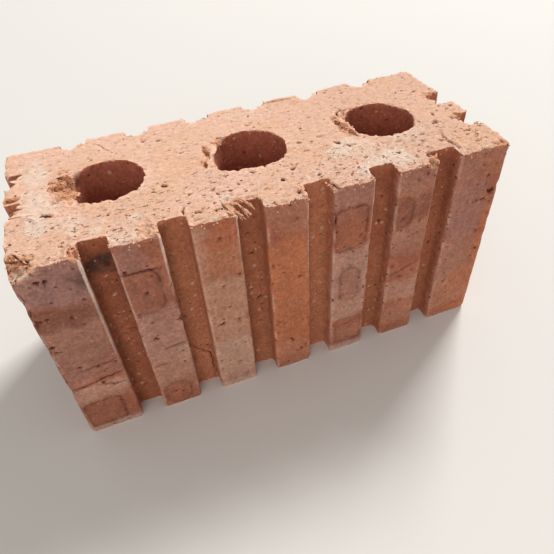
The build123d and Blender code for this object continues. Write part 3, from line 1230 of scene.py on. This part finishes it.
def all_rings(skin, masks):
    """Kiln marks on the front as the photo shows them, and a few on the other long side."""
    kiln_rings(skin, masks, FRONT_RINGS, skin.on_front(4, 2) * skin.side)
    rng = np.random.default_rng(SEED + 122)
    half_width, radius, strength = BACK_RING
    rings = []
    for ridge in BACK_RIDGES:
        height = rng.uniform(*BACK_RING_HEIGHTS)
        x = ridge + rng.uniform(-BACK_RING_SHIFT, BACK_RING_SHIFT)
        rings.append((x, height, half_width, rng.uniform(*BACK_RING_SIZES), radius, strength))
    kiln_rings(skin, masks, rings, ramp(skin.y, BACK - 4, BACK - 2) * skin.side)


# Whitish dust on the top: x, y, half sizes and strength
DUST = [
    (-104, 24, 9, 14, 0.75), (-104, -4, 8, 14, 0.7), (-107, -24, 9, 8, 0.85), (-94, -24, 9, 7, 0.45),
    (-65.5, -33, 2.6, 2.6, 1.0), (-81.5, -35.5, 2.4, 2.2, 0.95), (-83, -13.5, 3.2, 2.4, 0.95),
    # The dust at the broken front left corner, (-116, -50), is partly whitish dust and partly a painted
    # highlight where that broken face catches light
    (-116, -50, 6.0, 3.2, 1.2), (39, -18, 7, 8, 0.75), (48, -14, 4, 4, 0.8), (52, -24, 8, 9, 0.5),
    (60, -38, 13, 9, 0.85), (44, -42, 5, 5, 0.8), (-25, -35, 4, 4, 0.6), (-70, -46, 9, 4, 0.5),
    (80, -20, 14, 8, 0.3), (10, 38, 12, 7, 0.2), (-92, -33, 3, 3, 0.7),
]

# Its soft edge, the noises that fray and fleck it, and how much of the broken clay's colour it hides
DUST_EDGE = (1.25, 0.35)
DUST_WOBBLE = (0.5, 8.0, 130, 4, 0.6)
DUST_GRAIN = (0.25, 1.2, 134)
DUST_COVER = 0.8

# Warmer clay of the top: its noise and its strength; a warm area at the front right and its strength; and
# from which x to which the top gets darker
WARM_PATCHES = (1.0, 20.0, 135, 3)
WARM_STRENGTH = 0.5
WARM_AREA = (104, -36, 16, 11)
WARM_AREA_STRENGTH = 0.6
DEEPER = (-20, 90)


def top_colours(skin, masks):
    """Dust and warmer patches of the cut faces."""
    wobble = swing(skin.places, *DUST_WOBBLE)
    fine = (1 - DUST_GRAIN[0] + swing(skin.places, *DUST_GRAIN)) * ramp(skin.z, HEIGHT - 6, HEIGHT - 3)
    for *area, strength in DUST:
        reach = area_reach(skin.x, skin.y, area) + wobble
        masks.lift("dust", strength * fine * ramp(reach, *DUST_EDGE))
    masks.lift("orange", WARM_STRENGTH * skin.top * ramp(swing(skin.flat, *WARM_PATCHES), 0.1, 0.8))
    masks.lift("tan", skin.top * ramp(skin.x, *DEEPER))
    warm_area = ramp(area_reach(skin.x, skin.y, WARM_AREA), 1.2, 0.6)
    masks.lift("orange", WARM_AREA_STRENGTH * skin.top * warm_area)


# Upright edges of the front that are rubbed pale and carry painted highlights where light grazed them: x,
# from what height, and how much
ARRIS_RUB_AND_HIGHLIGHTS = [
    (-91, 76, 1.0), (-91, 40, 0.5), (-57, 80, 0.8), (-23, 84, 0.6), (11, 60, 0.4), (45, 80, 0.5),
    (79, 84, 0.35),
]

# Ridges whose foot is rubbed pale, as x and half width; how much it is there and elsewhere; from what
# height down; and how much the other upright edges are rubbed
PALE_FEET = ((-105, 16), (-34, 12), (33, 13))
FOOT_PALENESS = (0.28, 0.03)
FOOT_HEIGHTS = (5.5, 2.5)
ARRIS_PALENESS = 0.3
EDGE_NOISE = (1.0, 6.0, 140)
FOOT_LIFT = (1.5, 15.0, 141)


def edge_colours(skin, masks):
    """Pale edges: worn rims of the underside and upright arrises, and painted highlights down arrises of the
    front.
    """
    uneven = swing(skin.places, *EDGE_NOISE)
    highest = FOOT_HEIGHTS[0] + swing(skin.flat, *FOOT_LIFT).mean()
    foot = ramp(skin.z + 1.5 * uneven, highest, FOOT_HEIGHTS[1])
    rubbed = np.any([np.abs(skin.x - x) < half for x, half in PALE_FEET], axis=0)
    masks.lift("pale", np.where(rubbed, *FOOT_PALENESS) * foot * skin.side * (1 - skin.groove))
    arris = skin.on_arris * ramp(skin.groove, 0.32, 0.05) * ramp(uneven, -0.6, 0.6) * skin.side
    masks.lift("pale", ARRIS_PALENESS * arris)
    # Painted highlights, partly rubbed clay, down the front's upright edges where light grazed them
    for x, low, strength in ARRIS_RUB_AND_HIGHLIGHTS:
        line = ramp(np.abs(skin.x - x + 0.5), 1.2, 0.5) * ramp(skin.z, low, low + 30)
        masks.lift("pale", strength * line * (skin.y < FRONT + 2) * skin.side)


# How far down the cut face's colour reaches where a core's rim is broken back, for each millimetre of that,
# how far for each millimetre of wear on the cores and on the sides, and how strong it is at the underside
BROKEN_RIM = 1.6
WORN_RIM = (0.8, 0.4)
FOOT_CUT = 0.7


def cut_share(skin):
    """1 on the cut faces, and down the wall as far as their torn rim reaches."""
    reach = rim_wear(skin) * np.where(skin.core, *WORN_RIM)
    reach += BROKEN_RIM * np.maximum(0.0, -tongue_reach(skin))
    rim = np.maximum(ramp(skin.below / reach, 1.5, 0.6), FOOT_CUT * ramp(skin.z / reach, 1.0, 0.3))
    return np.where(skin.top | skin.bottom, 1.0, rim)


# Depth at which the material paints a hollow's shade in full
DEEPEST_HOLLOW = 1.5


def colour_masks(skin, hollow, fresh):
    """All masks that the material reads."""
    masks = Masks(groove=skin.groove, busy=busy_share(skin), core=skin.core, cut=cut_share(skin))
    for paint in (front_colours, side_colours, groove_colours, all_rings, top_colours, edge_colours):
        paint(skin, masks)
    masks["hollow"] = np.clip(hollow, 0.0, DEEPEST_HOLLOW) / DEEPEST_HOLLOW
    masks["fresh"] = fresh * (1 - DUST_COVER * masks["dust"])
    return masks


# Pieces

def mesh_object(name, vertices, faces):
    """A new object from vertices in millimetres."""
    mesh = bpy.data.meshes.new(name)
    mesh.from_pydata((np.asarray(vertices) * METRES).tolist(), [], np.asarray(faces).tolist())
    mesh.validate()
    mesh.update()
    return linked(bpy.data.objects.new(name, mesh))


def linked(thing):
    """Puts an object into the scene."""
    bpy.context.collection.objects.link(thing)
    return thing


def joined(name, parts):
    """One object from the vertices and faces of several parts."""
    start, vertices, faces = 0, [], []
    for points, triangles in parts:
        vertices.append(points)
        faces.append(triangles + start)
        start += len(points)
    return mesh_object(name, inside_box(np.concatenate(vertices)), np.concatenate(faces))


def write_masks(piece, masks):
    """Stores each mask as a value of the mesh's points."""
    for name, values in masks.items():
        layer = piece.data.attributes.new(name, "FLOAT", "POINT")
        layer.data.foreach_set("value", np.broadcast_to(values, len(piece.data.vertices)).astype(np.float32))


SHARP_ANGLE = math.radians(50)
# How freshly broken the clay looks in bites, torn places and pale torn places, and how torn the last are
FRESHNESS = (0.5, 0.9, 0.3)
PALE_TORN_SHARE = 0.8


def make_brick():
    """The worn brick, and the crumbs that lie on it."""
    loop = outline_loop()
    scatter = Scatter(loop)
    skin = build_skin(scatter, loop)
    settle_top(skin)
    hollow = wear_walls(skin, scatter)
    top_dents(skin, hollow)
    wear_cut_face(skin, skin.top, 1.0, hollow)
    wear_cut_face(skin, skin.bottom, UNDERSIDE, hollow)
    bitten = take_bites(skin)
    torn, pale_torn = torn_share(skin, TORN), torn_share(skin, PALE_TORN)
    all_torn = np.maximum(torn, PALE_TORN_SHARE * pale_torn)
    break_up(skin, all_torn)
    fresh = [share * place for share, place in zip(FRESHNESS, (bitten, torn, pale_torn))]
    skin.moved = inside_box(skin.moved)
    brick = mesh_object("brick_skin", skin.moved, skin.triangles)
    brick.data.shade_smooth()
    brick.data.set_sharp_from_angle(angle=SHARP_ANGLE)
    masks = colour_masks(skin, hollow, np.maximum.reduce(fresh))
    masks.lift("cut", bitten)
    masks.lift("busy", all_torn)
    write_masks(brick, masks)
    return brick, make_crumbs(skin, all_torn)


# Crumbs of clay: how many lie in the torn places, along the rims of the top and over the rest of it, and
# the largest size of each; the smallest size; how far down they lie; their stretch and their lumps
TORN_CRUMBS = (700, 1.35)
RIM_CRUMBS = (620, 1.0)
LOOSE_CRUMBS = (330, 0.75)
SMALLEST_CRUMB = 0.35
CRUMB_DEPTH = 5.0
CRUMB_STRETCH = (0.5, 1.2)
CRUMB_LUMPS = (0.5, 0.8, 151)
CRUMB_PLACES = (1.0, 8.0, 152)


def crumb_shape():
    """Points and faces of a small ball."""
    ball = bmesh.new()
    bmesh.ops.create_icosphere(ball, subdivisions=1, radius=1.0)
    points = np.array([vertex.co[:] for vertex in ball.verts])
    faces = np.array([[vertex.index for vertex in face.verts] for face in ball.faces])
    ball.free()
    return points, faces


def make_crumbs(skin, torn):
    """Crumbs pressed into the top, each a small uneven lump."""
    rng = np.random.default_rng(SEED + 150)
    ball, ball_faces = crumb_shape()
    chance = np.maximum(0.0, 0.4 + swing(skin.places, *CRUMB_PLACES))
    rim = skin.top & (skin.side | skin.core)
    zones = [(TORN_CRUMBS, torn * (skin.below < CRUMB_DEPTH)), (RIM_CRUMBS, rim * chance)]
    crumbs = []
    for (count, largest), weight in zones + [(LOOSE_CRUMBS, skin.top * chance)]:
        for place in skin.moved[rng.choice(len(weight), count, p=weight / weight.sum())]:
            size = SMALLEST_CRUMB + (largest - SMALLEST_CRUMB) * rng.uniform() ** 2
            stretch = rng.uniform(*CRUMB_STRETCH, 3)
            lumps = 1.0 + swing(ball + 9.0 * rng.uniform(size=3), *CRUMB_LUMPS)
            middle = place + rng.uniform(-0.3, 0.3, 3) * size - (0.0, 0.0, 0.1 * size)
            crumbs.append((middle + 0.5 * size * stretch * ball * lumps[:, None], ball_faces))
    return joined("clay_crumbs", crumbs)


# Torn strips of clay across the mouths of grooves: points along each as x, y, height and width
STRIPS = [
    [(-23.8, -39.6, 118.6, 1.0), (-21.9, -42.2, 119.2, 1.9), (-19.4, -45.4, 118.0, 1.3),
     (-17.0, -49.0, 116.0, 0.9)],
    [(-20.2, -38.8, 118.5, 1.6), (-17.4, -41.4, 119.0, 1.0), (-15.6, -44.2, 118.2, 1.7),
     (-14.6, -46.8, 117.0, 0.5)],
    [(-26.8, -44.6, 118.2, 1.3), (-25.2, -47.0, 118.3, 2.1), (-23.6, -49.0, 117.0, 1.3)],
    [(-23.4, -43.4, 117.0, 2.4), (-21.8, -46.0, 116.0, 2.0), (-21.2, -48.4, 114.2, 1.0)],
    [(21.6, -42.5, 118.2, 1.2), (22.8, -45.5, 117.8, 1.5), (23.8, -48.6, 116.6, 0.9)],
    [(81.0, -42.5, 118.2, 1.2), (79.2, -45.2, 117.6, 1.7), (77.8, -48.6, 116.0, 1.2)],
    [(113.5, -27.5, 118.0, 1.8), (115.8, -26.0, 118.9, 1.7), (118.2, -24.6, 118.5, 1.1)],
    [(22, 45.5, 118.4, 0.8), (29, 46.6, 119.2, 1.5), (36, 45.8, 119.0, 1.0), (41, 46.8, 118.2, 0.6)],
    [(-17.5, 14.5, 118.8, 1.6), (-15.2, 13.2, 119.2, 1.3), (-12.6, 11.8, 118.4, 0.7)],
    [(-15.6, 17.6, 118.8, 1.4), (-12.8, 15.8, 119.2, 1.2), (-10.2, 13.8, 118.2, 0.7)],
    [(-22.6, -41.0, 118.9, 0.8), (-20.6, -43.6, 118.4, 1.1), (-19.2, -46.4, 116.8, 1.0),
     (-18.4, -49.2, 115.2, 0.6)],
    [(-19.0, -40.2, 118.6, 0.9), (-16.8, -42.8, 118.2, 1.0), (-15.4, -45.6, 117.2, 0.6)],
    [(-25.0, -43.2, 118.2, 0.9), (-23.0, -45.6, 117.4, 1.2), (-21.0, -47.4, 116.2, 0.9),
     (-19.8, -49.2, 114.6, 0.6)],
]

# How many rings of points a strip has and how many points each; how flat it is; and how much of its width
# its lumps leave and add
STRIP_STEPS = 40
STRIP_SIDES = 10
STRIP_FLATNESS = 0.68
STRIP_SIZE = 0.74
STRIP_LUMPS = (0.6, 1.1)


def strip_mesh(strip, seed):
    """Points and faces of one torn strip: a flattened, uneven tube with closed ends."""
    strip = np.array(strip, float)
    part = np.linspace(0.0, len(strip) - 1.0, STRIP_STEPS)
    line = np.stack([np.interp(part, np.arange(len(strip)), strip[:, i]) for i in range(4)], 1)
    line, half_width = line[:, :3], 0.5 * line[:, 3:]
    along = np.gradient(line, axis=0)
    side = np.cross(along, (0.0, 0.0, 1.0))
    side /= np.linalg.norm(side, axis=1, keepdims=True)
    up = np.cross(side, along / np.linalg.norm(along, axis=1, keepdims=True))
    angles = 2 * math.pi * np.arange(STRIP_SIDES) / STRIP_SIDES
    across, rise = (values[:, None] * half_width[:, None] for values in (side, up))
    away = np.cos(angles)[:, None] * across + STRIP_FLATNESS * np.sin(angles)[:, None] * rise
    away = away.reshape(-1, 3)
    middles = np.repeat(line, STRIP_SIDES, axis=0)
    lumps = STRIP_SIZE + swing(middles + away, *STRIP_LUMPS, seed, 3, 0.8)
    points = np.concatenate([middles + away * lumps[:, None], line[:1], line[-1:]])
    faces = []
    first, end = len(middles), len(middles) - STRIP_SIDES
    for i in range(0, end, STRIP_SIDES):
        for j in range(STRIP_SIDES):
            a, b = i + j, i + (j + 1) % STRIP_SIDES
            faces += [(a, a + STRIP_SIDES, b), (b, a + STRIP_SIDES, b + STRIP_SIDES)]
    for j in range(STRIP_SIDES):
        k = (j + 1) % STRIP_SIDES
        faces += [(first, j, k), (first + 1, end + k, end + j)]
    return points, np.array(faces)


# Material

clay = bpy.data.materials.new("fired_clay")
clay.use_nodes = True


def node(kind, inputs=(), **settings):
    """Adds a node to the clay, sets it up and joins or sets its inputs."""
    made = clay.node_tree.nodes.new(kind)
    for name, value in settings.items():
        setattr(made, name, value)
    for key, value in dict(inputs).items():
        if isinstance(value, bpy.types.NodeSocket):
            clay.node_tree.links.new(value, made.inputs[key])
        else:
            made.inputs[key].default_value = value
    return made


def maths(operation, *values):
    """A Math node's result."""
    return node("ShaderNodeMath", enumerate(values), operation=operation).outputs[0]


def times(value, factor):
    """A value multiplied by another or by a number."""
    return maths("MULTIPLY", value, factor)


def ranged(value, low, high, to_low=0.0, to_high=1.0):
    """A value taken smoothly from one range to another."""
    inputs = {"Value": value, "From Min": low, "From Max": high, "To Min": to_low, "To Max": to_high}
    return node("ShaderNodeMapRange", inputs, interpolation_type="SMOOTHSTEP").outputs[0]


def mixed(factor, first, second, blend="MIX"):
    """Two colours mixed by a factor."""
    inputs = {0: factor, 6: first, 7: second}
    return node("ShaderNodeMix", inputs, data_type="RGBA", blend_type=blend).outputs[2]


def painted(colour, *coats):
    """A colour with coats over it, each given as its share and its colour."""
    for share, coat in coats:
        colour = mixed(share, colour, coat)
    return colour


def mask(name):
    """One of the masks stored on the mesh."""
    return node("ShaderNodeAttribute", attribute_name=name).outputs["Fac"]


def by_mask(name, at_none, at_full):
    """A number that goes from one value to another with a mask."""
    return ranged(mask(name), 0.0, 1.0, at_none, at_full)


def stretched(place, scales):
    """A place with its axes scaled, which draws out what is drawn over it."""
    inputs = {"Vector": place, "Scale": scales}
    return node("ShaderNodeMapping", inputs, vector_type="POINT").outputs[0]


def texture(place, scale, detail=3.0, roughness=0.5):
    """Noise over a place, with features about 1/scale in size."""
    inputs = {"Vector": place, "Scale": scale, "Detail": detail, "Roughness": roughness}
    return node("ShaderNodeTexNoise", inputs).outputs["Fac"]


def linear(red, green, blue):
    """A colour written as it shows on screen, 0 to 255, for a shader socket."""
    levels = [value / 255 for value in (red, green, blue)]
    bent = [v / 12.92 if v <= 0.04045 else ((v + 0.055) / 1.055) ** 2.4 for v in levels]
    return (*bent, 1.0)


# Colours of the clay, as they show in plain light. The cut faces' ones are far paler than the walls': partly
# the cut clay's own paler tone and partly painted sunlight on the top
RIDGE = linear(172, 112, 88)
RIDGE_RED = linear(160, 94, 70)
LILAC = linear(156, 116, 106)
TAN = linear(186, 138, 112)
ORANGE = linear(186, 112, 76)
RUDDY = linear(158, 96, 72)
DARK = linear(84, 54, 46)
SCORCH = linear(116, 64, 48)
# Pale: worn feet and arrises, and also painted highlights and painted light low on the front
PALE = linear(232, 204, 188)
GROOVE = linear(190, 122, 88)
GROOVE_DARK = linear(153, 86, 60)
CORE_CLAY = linear(172, 98, 74)
CUT = linear(226, 184, 157)
CUT_PINK = linear(230, 186, 165)
CUT_DEEP = linear(218, 175, 151)
CUT_WARM = linear(222, 172, 138)
TEAR = linear(178, 100, 54)
TEAR_DARK = linear(128, 52, 12)
DUSTY = linear(228, 208, 190)
BROKEN = linear(212, 146, 104)
BROKEN_DARK = linear(128, 66, 38)
# Pit: painted shade in pits, cracks and tears
PIT = linear(102, 43, 18)
GRAIN = linear(214, 172, 148)
GRAIN_PALE = linear(247, 222, 200)


def spots(place, scale, share, size):
    """Scattered spots of different sizes, 0 to 1: a share of the cells of a random pattern has one."""
    cells = node("ShaderNodeTexVoronoi", {"Vector": place, "Scale": scale})
    chance = node("ShaderNodeSeparateColor", {"Color": cells.outputs["Color"]})
    chosen = ranged(chance.outputs[0], share, 0.9 * share)
    distance = maths("DIVIDE", cells.outputs["Distance"], maths("ADD", chance.outputs[1], 0.5))
    return times(chosen, ranged(distance, size, 0.3 * size))


def shaken(place, scale, amount):
    """A place moved a little at random, so that what is drawn over it loses its even shape."""
    moves = node("ShaderNodeTexNoise", {"Vector": place, "Scale": scale, "Detail": 2.0})
    middle = {0: moves.outputs["Color"], 1: (0.5, 0.5, 0.5)}
    centred = node("ShaderNodeVectorMath", middle, operation="SUBTRACT").outputs[0]
    moved = node("ShaderNodeVectorMath", {0: centred, "Scale": amount}, operation="SCALE").outputs[0]
    return node("ShaderNodeVectorMath", {0: place, 1: moved}, operation="ADD").outputs[0]


# Flecks of the cut faces: the level of the noise that they start at where the wire tore least and most, and
# how far on they are full
DARK_FLECKS = (0.628, 0.59)
PALE_CHIPS = (0.36, 0.42)
FLECK_EDGE = 0.04


def clay_marks(place):
    """The fine marks that both the colour and the relief read, each from 0 to 1."""
    loose = shaken(place, 500.0, 0.0016)
    drawn = stretched(loose, (0.38, 1.0, 1.0))
    uneven = texture(stretched(loose, (0.75, 1.15, 1.0)), 460.0, 5.0, 0.72)
    dark, pale = by_mask("busy", *DARK_FLECKS), by_mask("busy", *PALE_CHIPS)
    return {
        "grain": texture(place, 620.0, 5.0, 0.68),
        "mottle": texture(place, 210.0, 5.0, 0.62),
        "drag": texture(stretched(place, (0.35, 1.6, 1.0)), 330.0, 5.0, 0.66),
        "pits": spots(stretched(loose, (0.7, 0.7, 1.0)), 300.0, 0.34, 0.20),
        "small_pits": spots(loose, 620.0, 0.40, 0.24),
        "tears": spots(drawn, 330.0, 0.42, 0.20),
        "small_tears": spots(drawn, 640.0, 0.34, 0.24),
        "grains": spots(loose, 470.0, 0.30, 0.22),
        "large_grains": spots(loose, 250.0, 0.36, 0.26),
        "crumbling": ranged(texture(stretched(loose, (1.3, 0.6, 1.0)), 800.0, 4.0, 0.65), 0.55, 0.64),
        "flecks": ranged(uneven, dark, maths("ADD", dark, FLECK_EDGE)),
        "chips": ranged(uneven, pale, maths("SUBTRACT", pale, FLECK_EDGE)),
    }


def wall_colour(place, marks):
    """Colour of the walls that the die formed."""
    patches = ranged(texture(place, 45.0, 5.0, 0.6), 0.38, 0.62)
    streaks = ranged(texture(stretched(place, (8.0, 8.0, 0.6)), 60.0), 0.35, 0.7)
    floor = mixed(mask("shade"), GROOVE, GROOVE_DARK)
    speckled = maths("MAXIMUM", mask("groove"), mask("core"))
    colour = painted(
        mixed(patches, RIDGE, RIDGE_RED),
        (mask("tan"), TAN),
        (mask("orange"), ORANGE),
        (mask("lilac"), LILAC),
        (mask("ruddy"), RUDDY),
        (times(streaks, 0.2), RIDGE_RED),
        (ranged(mask("groove"), 0.1, 0.75), floor),
        (mask("core"), CORE_CLAY),
        (mask("scorch"), SCORCH),
        (mask("dark"), DARK),
        (mask("pale"), PALE),
        (times(marks["grains"], ranged(speckled, 0.0, 1.0, 0.5, 0.9)), GRAIN),
        (times(marks["large_grains"], ranged(speckled, 0.1, 0.75, 0.15, 0.75)), GRAIN),
    )
    # Painted shade in the small pits of the relief
    dark = maths("MAXIMUM", marks["pits"], times(marks["small_pits"], 0.6))
    return mixed(times(dark, 0.75), colour, PIT)


def cut_colour(place, marks):
    """Colour of the faces that the wire cut: partly their own paler clay and partly painted sunlight, far
    paler than the walls.
    """
    patches = ranged(texture(place, 60.0, 5.0), 0.35, 0.65)
    drag = ranged(marks["drag"], 0.36, 0.62)
    tears = maths("MAXIMUM", marks["tears"], times(marks["small_tears"], 0.7))
    return painted(
        mixed(patches, CUT, CUT_PINK),
        (mask("tan"), CUT_DEEP),
        (mask("orange"), CUT_WARM),
        (times(drag, 0.4), CUT_WARM),
        (mask("dust"), DUSTY),
        (times(mask("fresh"), 0.9), BROKEN),
        (times(marks["grains"], 0.7), GRAIN_PALE),
        (times(marks["chips"], 0.8), GRAIN_PALE),
        (times(times(tears, mask("busy")), 0.6), TEAR),
        (marks["flecks"], TEAR_DARK),
        (times(times(marks["crumbling"], mask("fresh")), 0.85), BROKEN_DARK),
    )


def grained_and_shaded(colour, marks):
    """Light and dark grain over a colour, with painted shade: paler on what stands out and darker in
    hollows.
    """
    bend = node("ShaderNodeNewGeometry").outputs["Pointiness"]
    levels = (
        (by_mask("cut", 1.0, 0.3), ranged(marks["mottle"], 0.32, 0.68, 0.90, 1.10)),
        (by_mask("cut", 1.0, 0.6), ranged(marks["grain"], 0.32, 0.68, 0.80, 1.18)),
        # Painted shade and highlight by the surface's bend: darker in concave places, paler on edges
        (1.0, ranged(bend, 0.44, 0.56, 0.8, 1.15)),
    )
    for strength, level in levels:
        colour = mixed(strength, colour, level, "MULTIPLY")
    # Painted shade in pits, cracks and tears, darker the deeper the hollow
    ragged = maths("MULTIPLY_ADD", marks["grain"], 1.8, mask("hollow"))
    return mixed(ranged(ragged, 1.2, 1.5, 0.0, 0.9), colour, PIT)


def summed(marks, **shares):
    """The sum of some marks, each times its share."""
    terms = [marks[name] if share == 1.0 else times(marks[name], share) for name, share in shares.items()]
    total = terms[0]
    for term in terms[1:]:
        total = maths("ADD", total, term)
    return total


def clay_height(marks):
    """Fine relief: grain all over, drawn out along the drag on the cut faces, with pits and tears."""
    wall = summed(marks, grain=1.0, pits=-1.0, small_pits=-0.5)
    cut = summed(marks, drag=1.0, tears=-1.0, small_tears=-0.6, flecks=-1.0, chips=0.6)
    both = node("ShaderNodeMix", {0: mask("cut"), 2: wall, 3: cut}).outputs[0]
    return maths("ADD", both, times(marks["grains"], 0.4))


# The fine relief's strength and its depth in metres, and how little the clay shines
RELIEF_STRENGTH = 0.75
RELIEF_DEPTH = 0.0008
SPECULAR = 0.25


def finish_clay():
    """Fired clay: walls, cut faces, broken edges, pits and dust."""
    place = node("ShaderNodeTexCoord").outputs["Object"]
    marks = clay_marks(place)
    wall, cut = wall_colour(place, marks), cut_colour(place, marks)
    relief = {"Strength": RELIEF_STRENGTH, "Distance": RELIEF_DEPTH, "Height": clay_height(marks)}
    links = {
        "Base Color": grained_and_shaded(mixed(mask("cut"), wall, cut), marks),
        "Roughness": ranged(marks["mottle"], 0.3, 0.7, 0.82, 0.98),
        "Normal": node("ShaderNodeBump", relief).outputs[0],
    }
    shader = clay.node_tree.nodes["Principled BSDF"]
    for name, value in links.items():
        clay.node_tree.links.new(value, shader.inputs[name])
    shader.inputs["Specular IOR Level"].default_value = SPECULAR


# Surroundings

FLOOR_SIZE = 12000.0
FLOOR_COLOUR = linear(220, 216, 210)
FLOOR_ROUGHNESS = 0.9
# Lamps: name, place, size and power, in metres and watts
LAMPS = (("key", (3.29, 2.77, 4.10), 1.73, 339.0), ("fill", (-0.9, -1.5, 0.8), 1.2, 9.5))
LAMP_TARGET = (0.0, 0.0, HEIGHT / 2 * METRES)
SURROUND_COLOUR = (1.0, 0.98, 0.95, 1.0)
SURROUND_STRENGTH = 0.475
# The photo's camera, fitted to points on the brick
CAMERA_PLACE = (-0.06589, -0.22678, 0.25315)
CAMERA_ANGLES = (46.274, 2.764, -20.924)
CAMERA_LENS = 33.632
CAMERA_SENSOR = 36.0


def make_floor():
    """A plain pale floor."""
    half = FLOOR_SIZE / 2
    corners = [(-half, -half, 0), (half, -half, 0), (half, half, 0), (-half, half, 0)]
    floor = mesh_object("floor", corners, [(0, 1, 2, 3)])
    pale = bpy.data.materials.new("pale_floor")
    pale.use_nodes = True
    shader = pale.node_tree.nodes["Principled BSDF"]
    shader.inputs["Base Color"].default_value = FLOOR_COLOUR
    shader.inputs["Roughness"].default_value = FLOOR_ROUGHNESS
    floor.data.materials.append(pale)


def make_lights():
    """A soft key from above right, a fill from the front and an even pale surround."""
    for name, place, size, power in LAMPS:
        data = bpy.data.lights.new(name, "AREA")
        data.size = size
        data.energy = power
        lamp = linked(bpy.data.objects.new(name, data))
        lamp.location = place
        aim = Vector(LAMP_TARGET) - Vector(place)
        lamp.rotation_euler = aim.to_track_quat("-Z", "Y").to_euler()
    world = bpy.data.worlds.new("surround")
    bpy.context.scene.world = world
    world.use_nodes = True
    background = world.node_tree.nodes["Background"]
    background.inputs["Color"].default_value = SURROUND_COLOUR
    background.inputs["Strength"].default_value = SURROUND_STRENGTH


def make_camera():
    """The camera at the photo's viewing angle."""
    data = bpy.data.cameras.new("camera")
    data.sensor_width = CAMERA_SENSOR
    data.lens = CAMERA_LENS
    camera = linked(bpy.data.objects.new("camera", data))
    camera.location = CAMERA_PLACE
    camera.rotation_euler = [math.radians(angle) for angle in CAMERA_ANGLES]
    bpy.context.scene.camera = camera


def place_piece(piece):
    """Gives a piece its material and fixes it to the brick."""
    piece.data.materials.append(clay)
    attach(piece, "root")


bpy.context.scene.view_settings.view_transform = "Standard"
finish_clay()
brick, crumbs = make_brick()
strips = joined("torn_strips", [strip_mesh(strip, 160 + i) for i, strip in enumerate(STRIPS)])
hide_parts("brick")
place_piece(brick)
# The crumbs and strips are torn clay all over, the strips more freshly broken
for piece, fresh, busy in ((crumbs, 0.15, 0.5), (strips, 0.55, 1.0)):
    write_masks(piece, {"cut": 1.0, "fresh": fresh, "busy": busy})
    place_piece(piece)
make_floor()
make_lights()
make_camera()
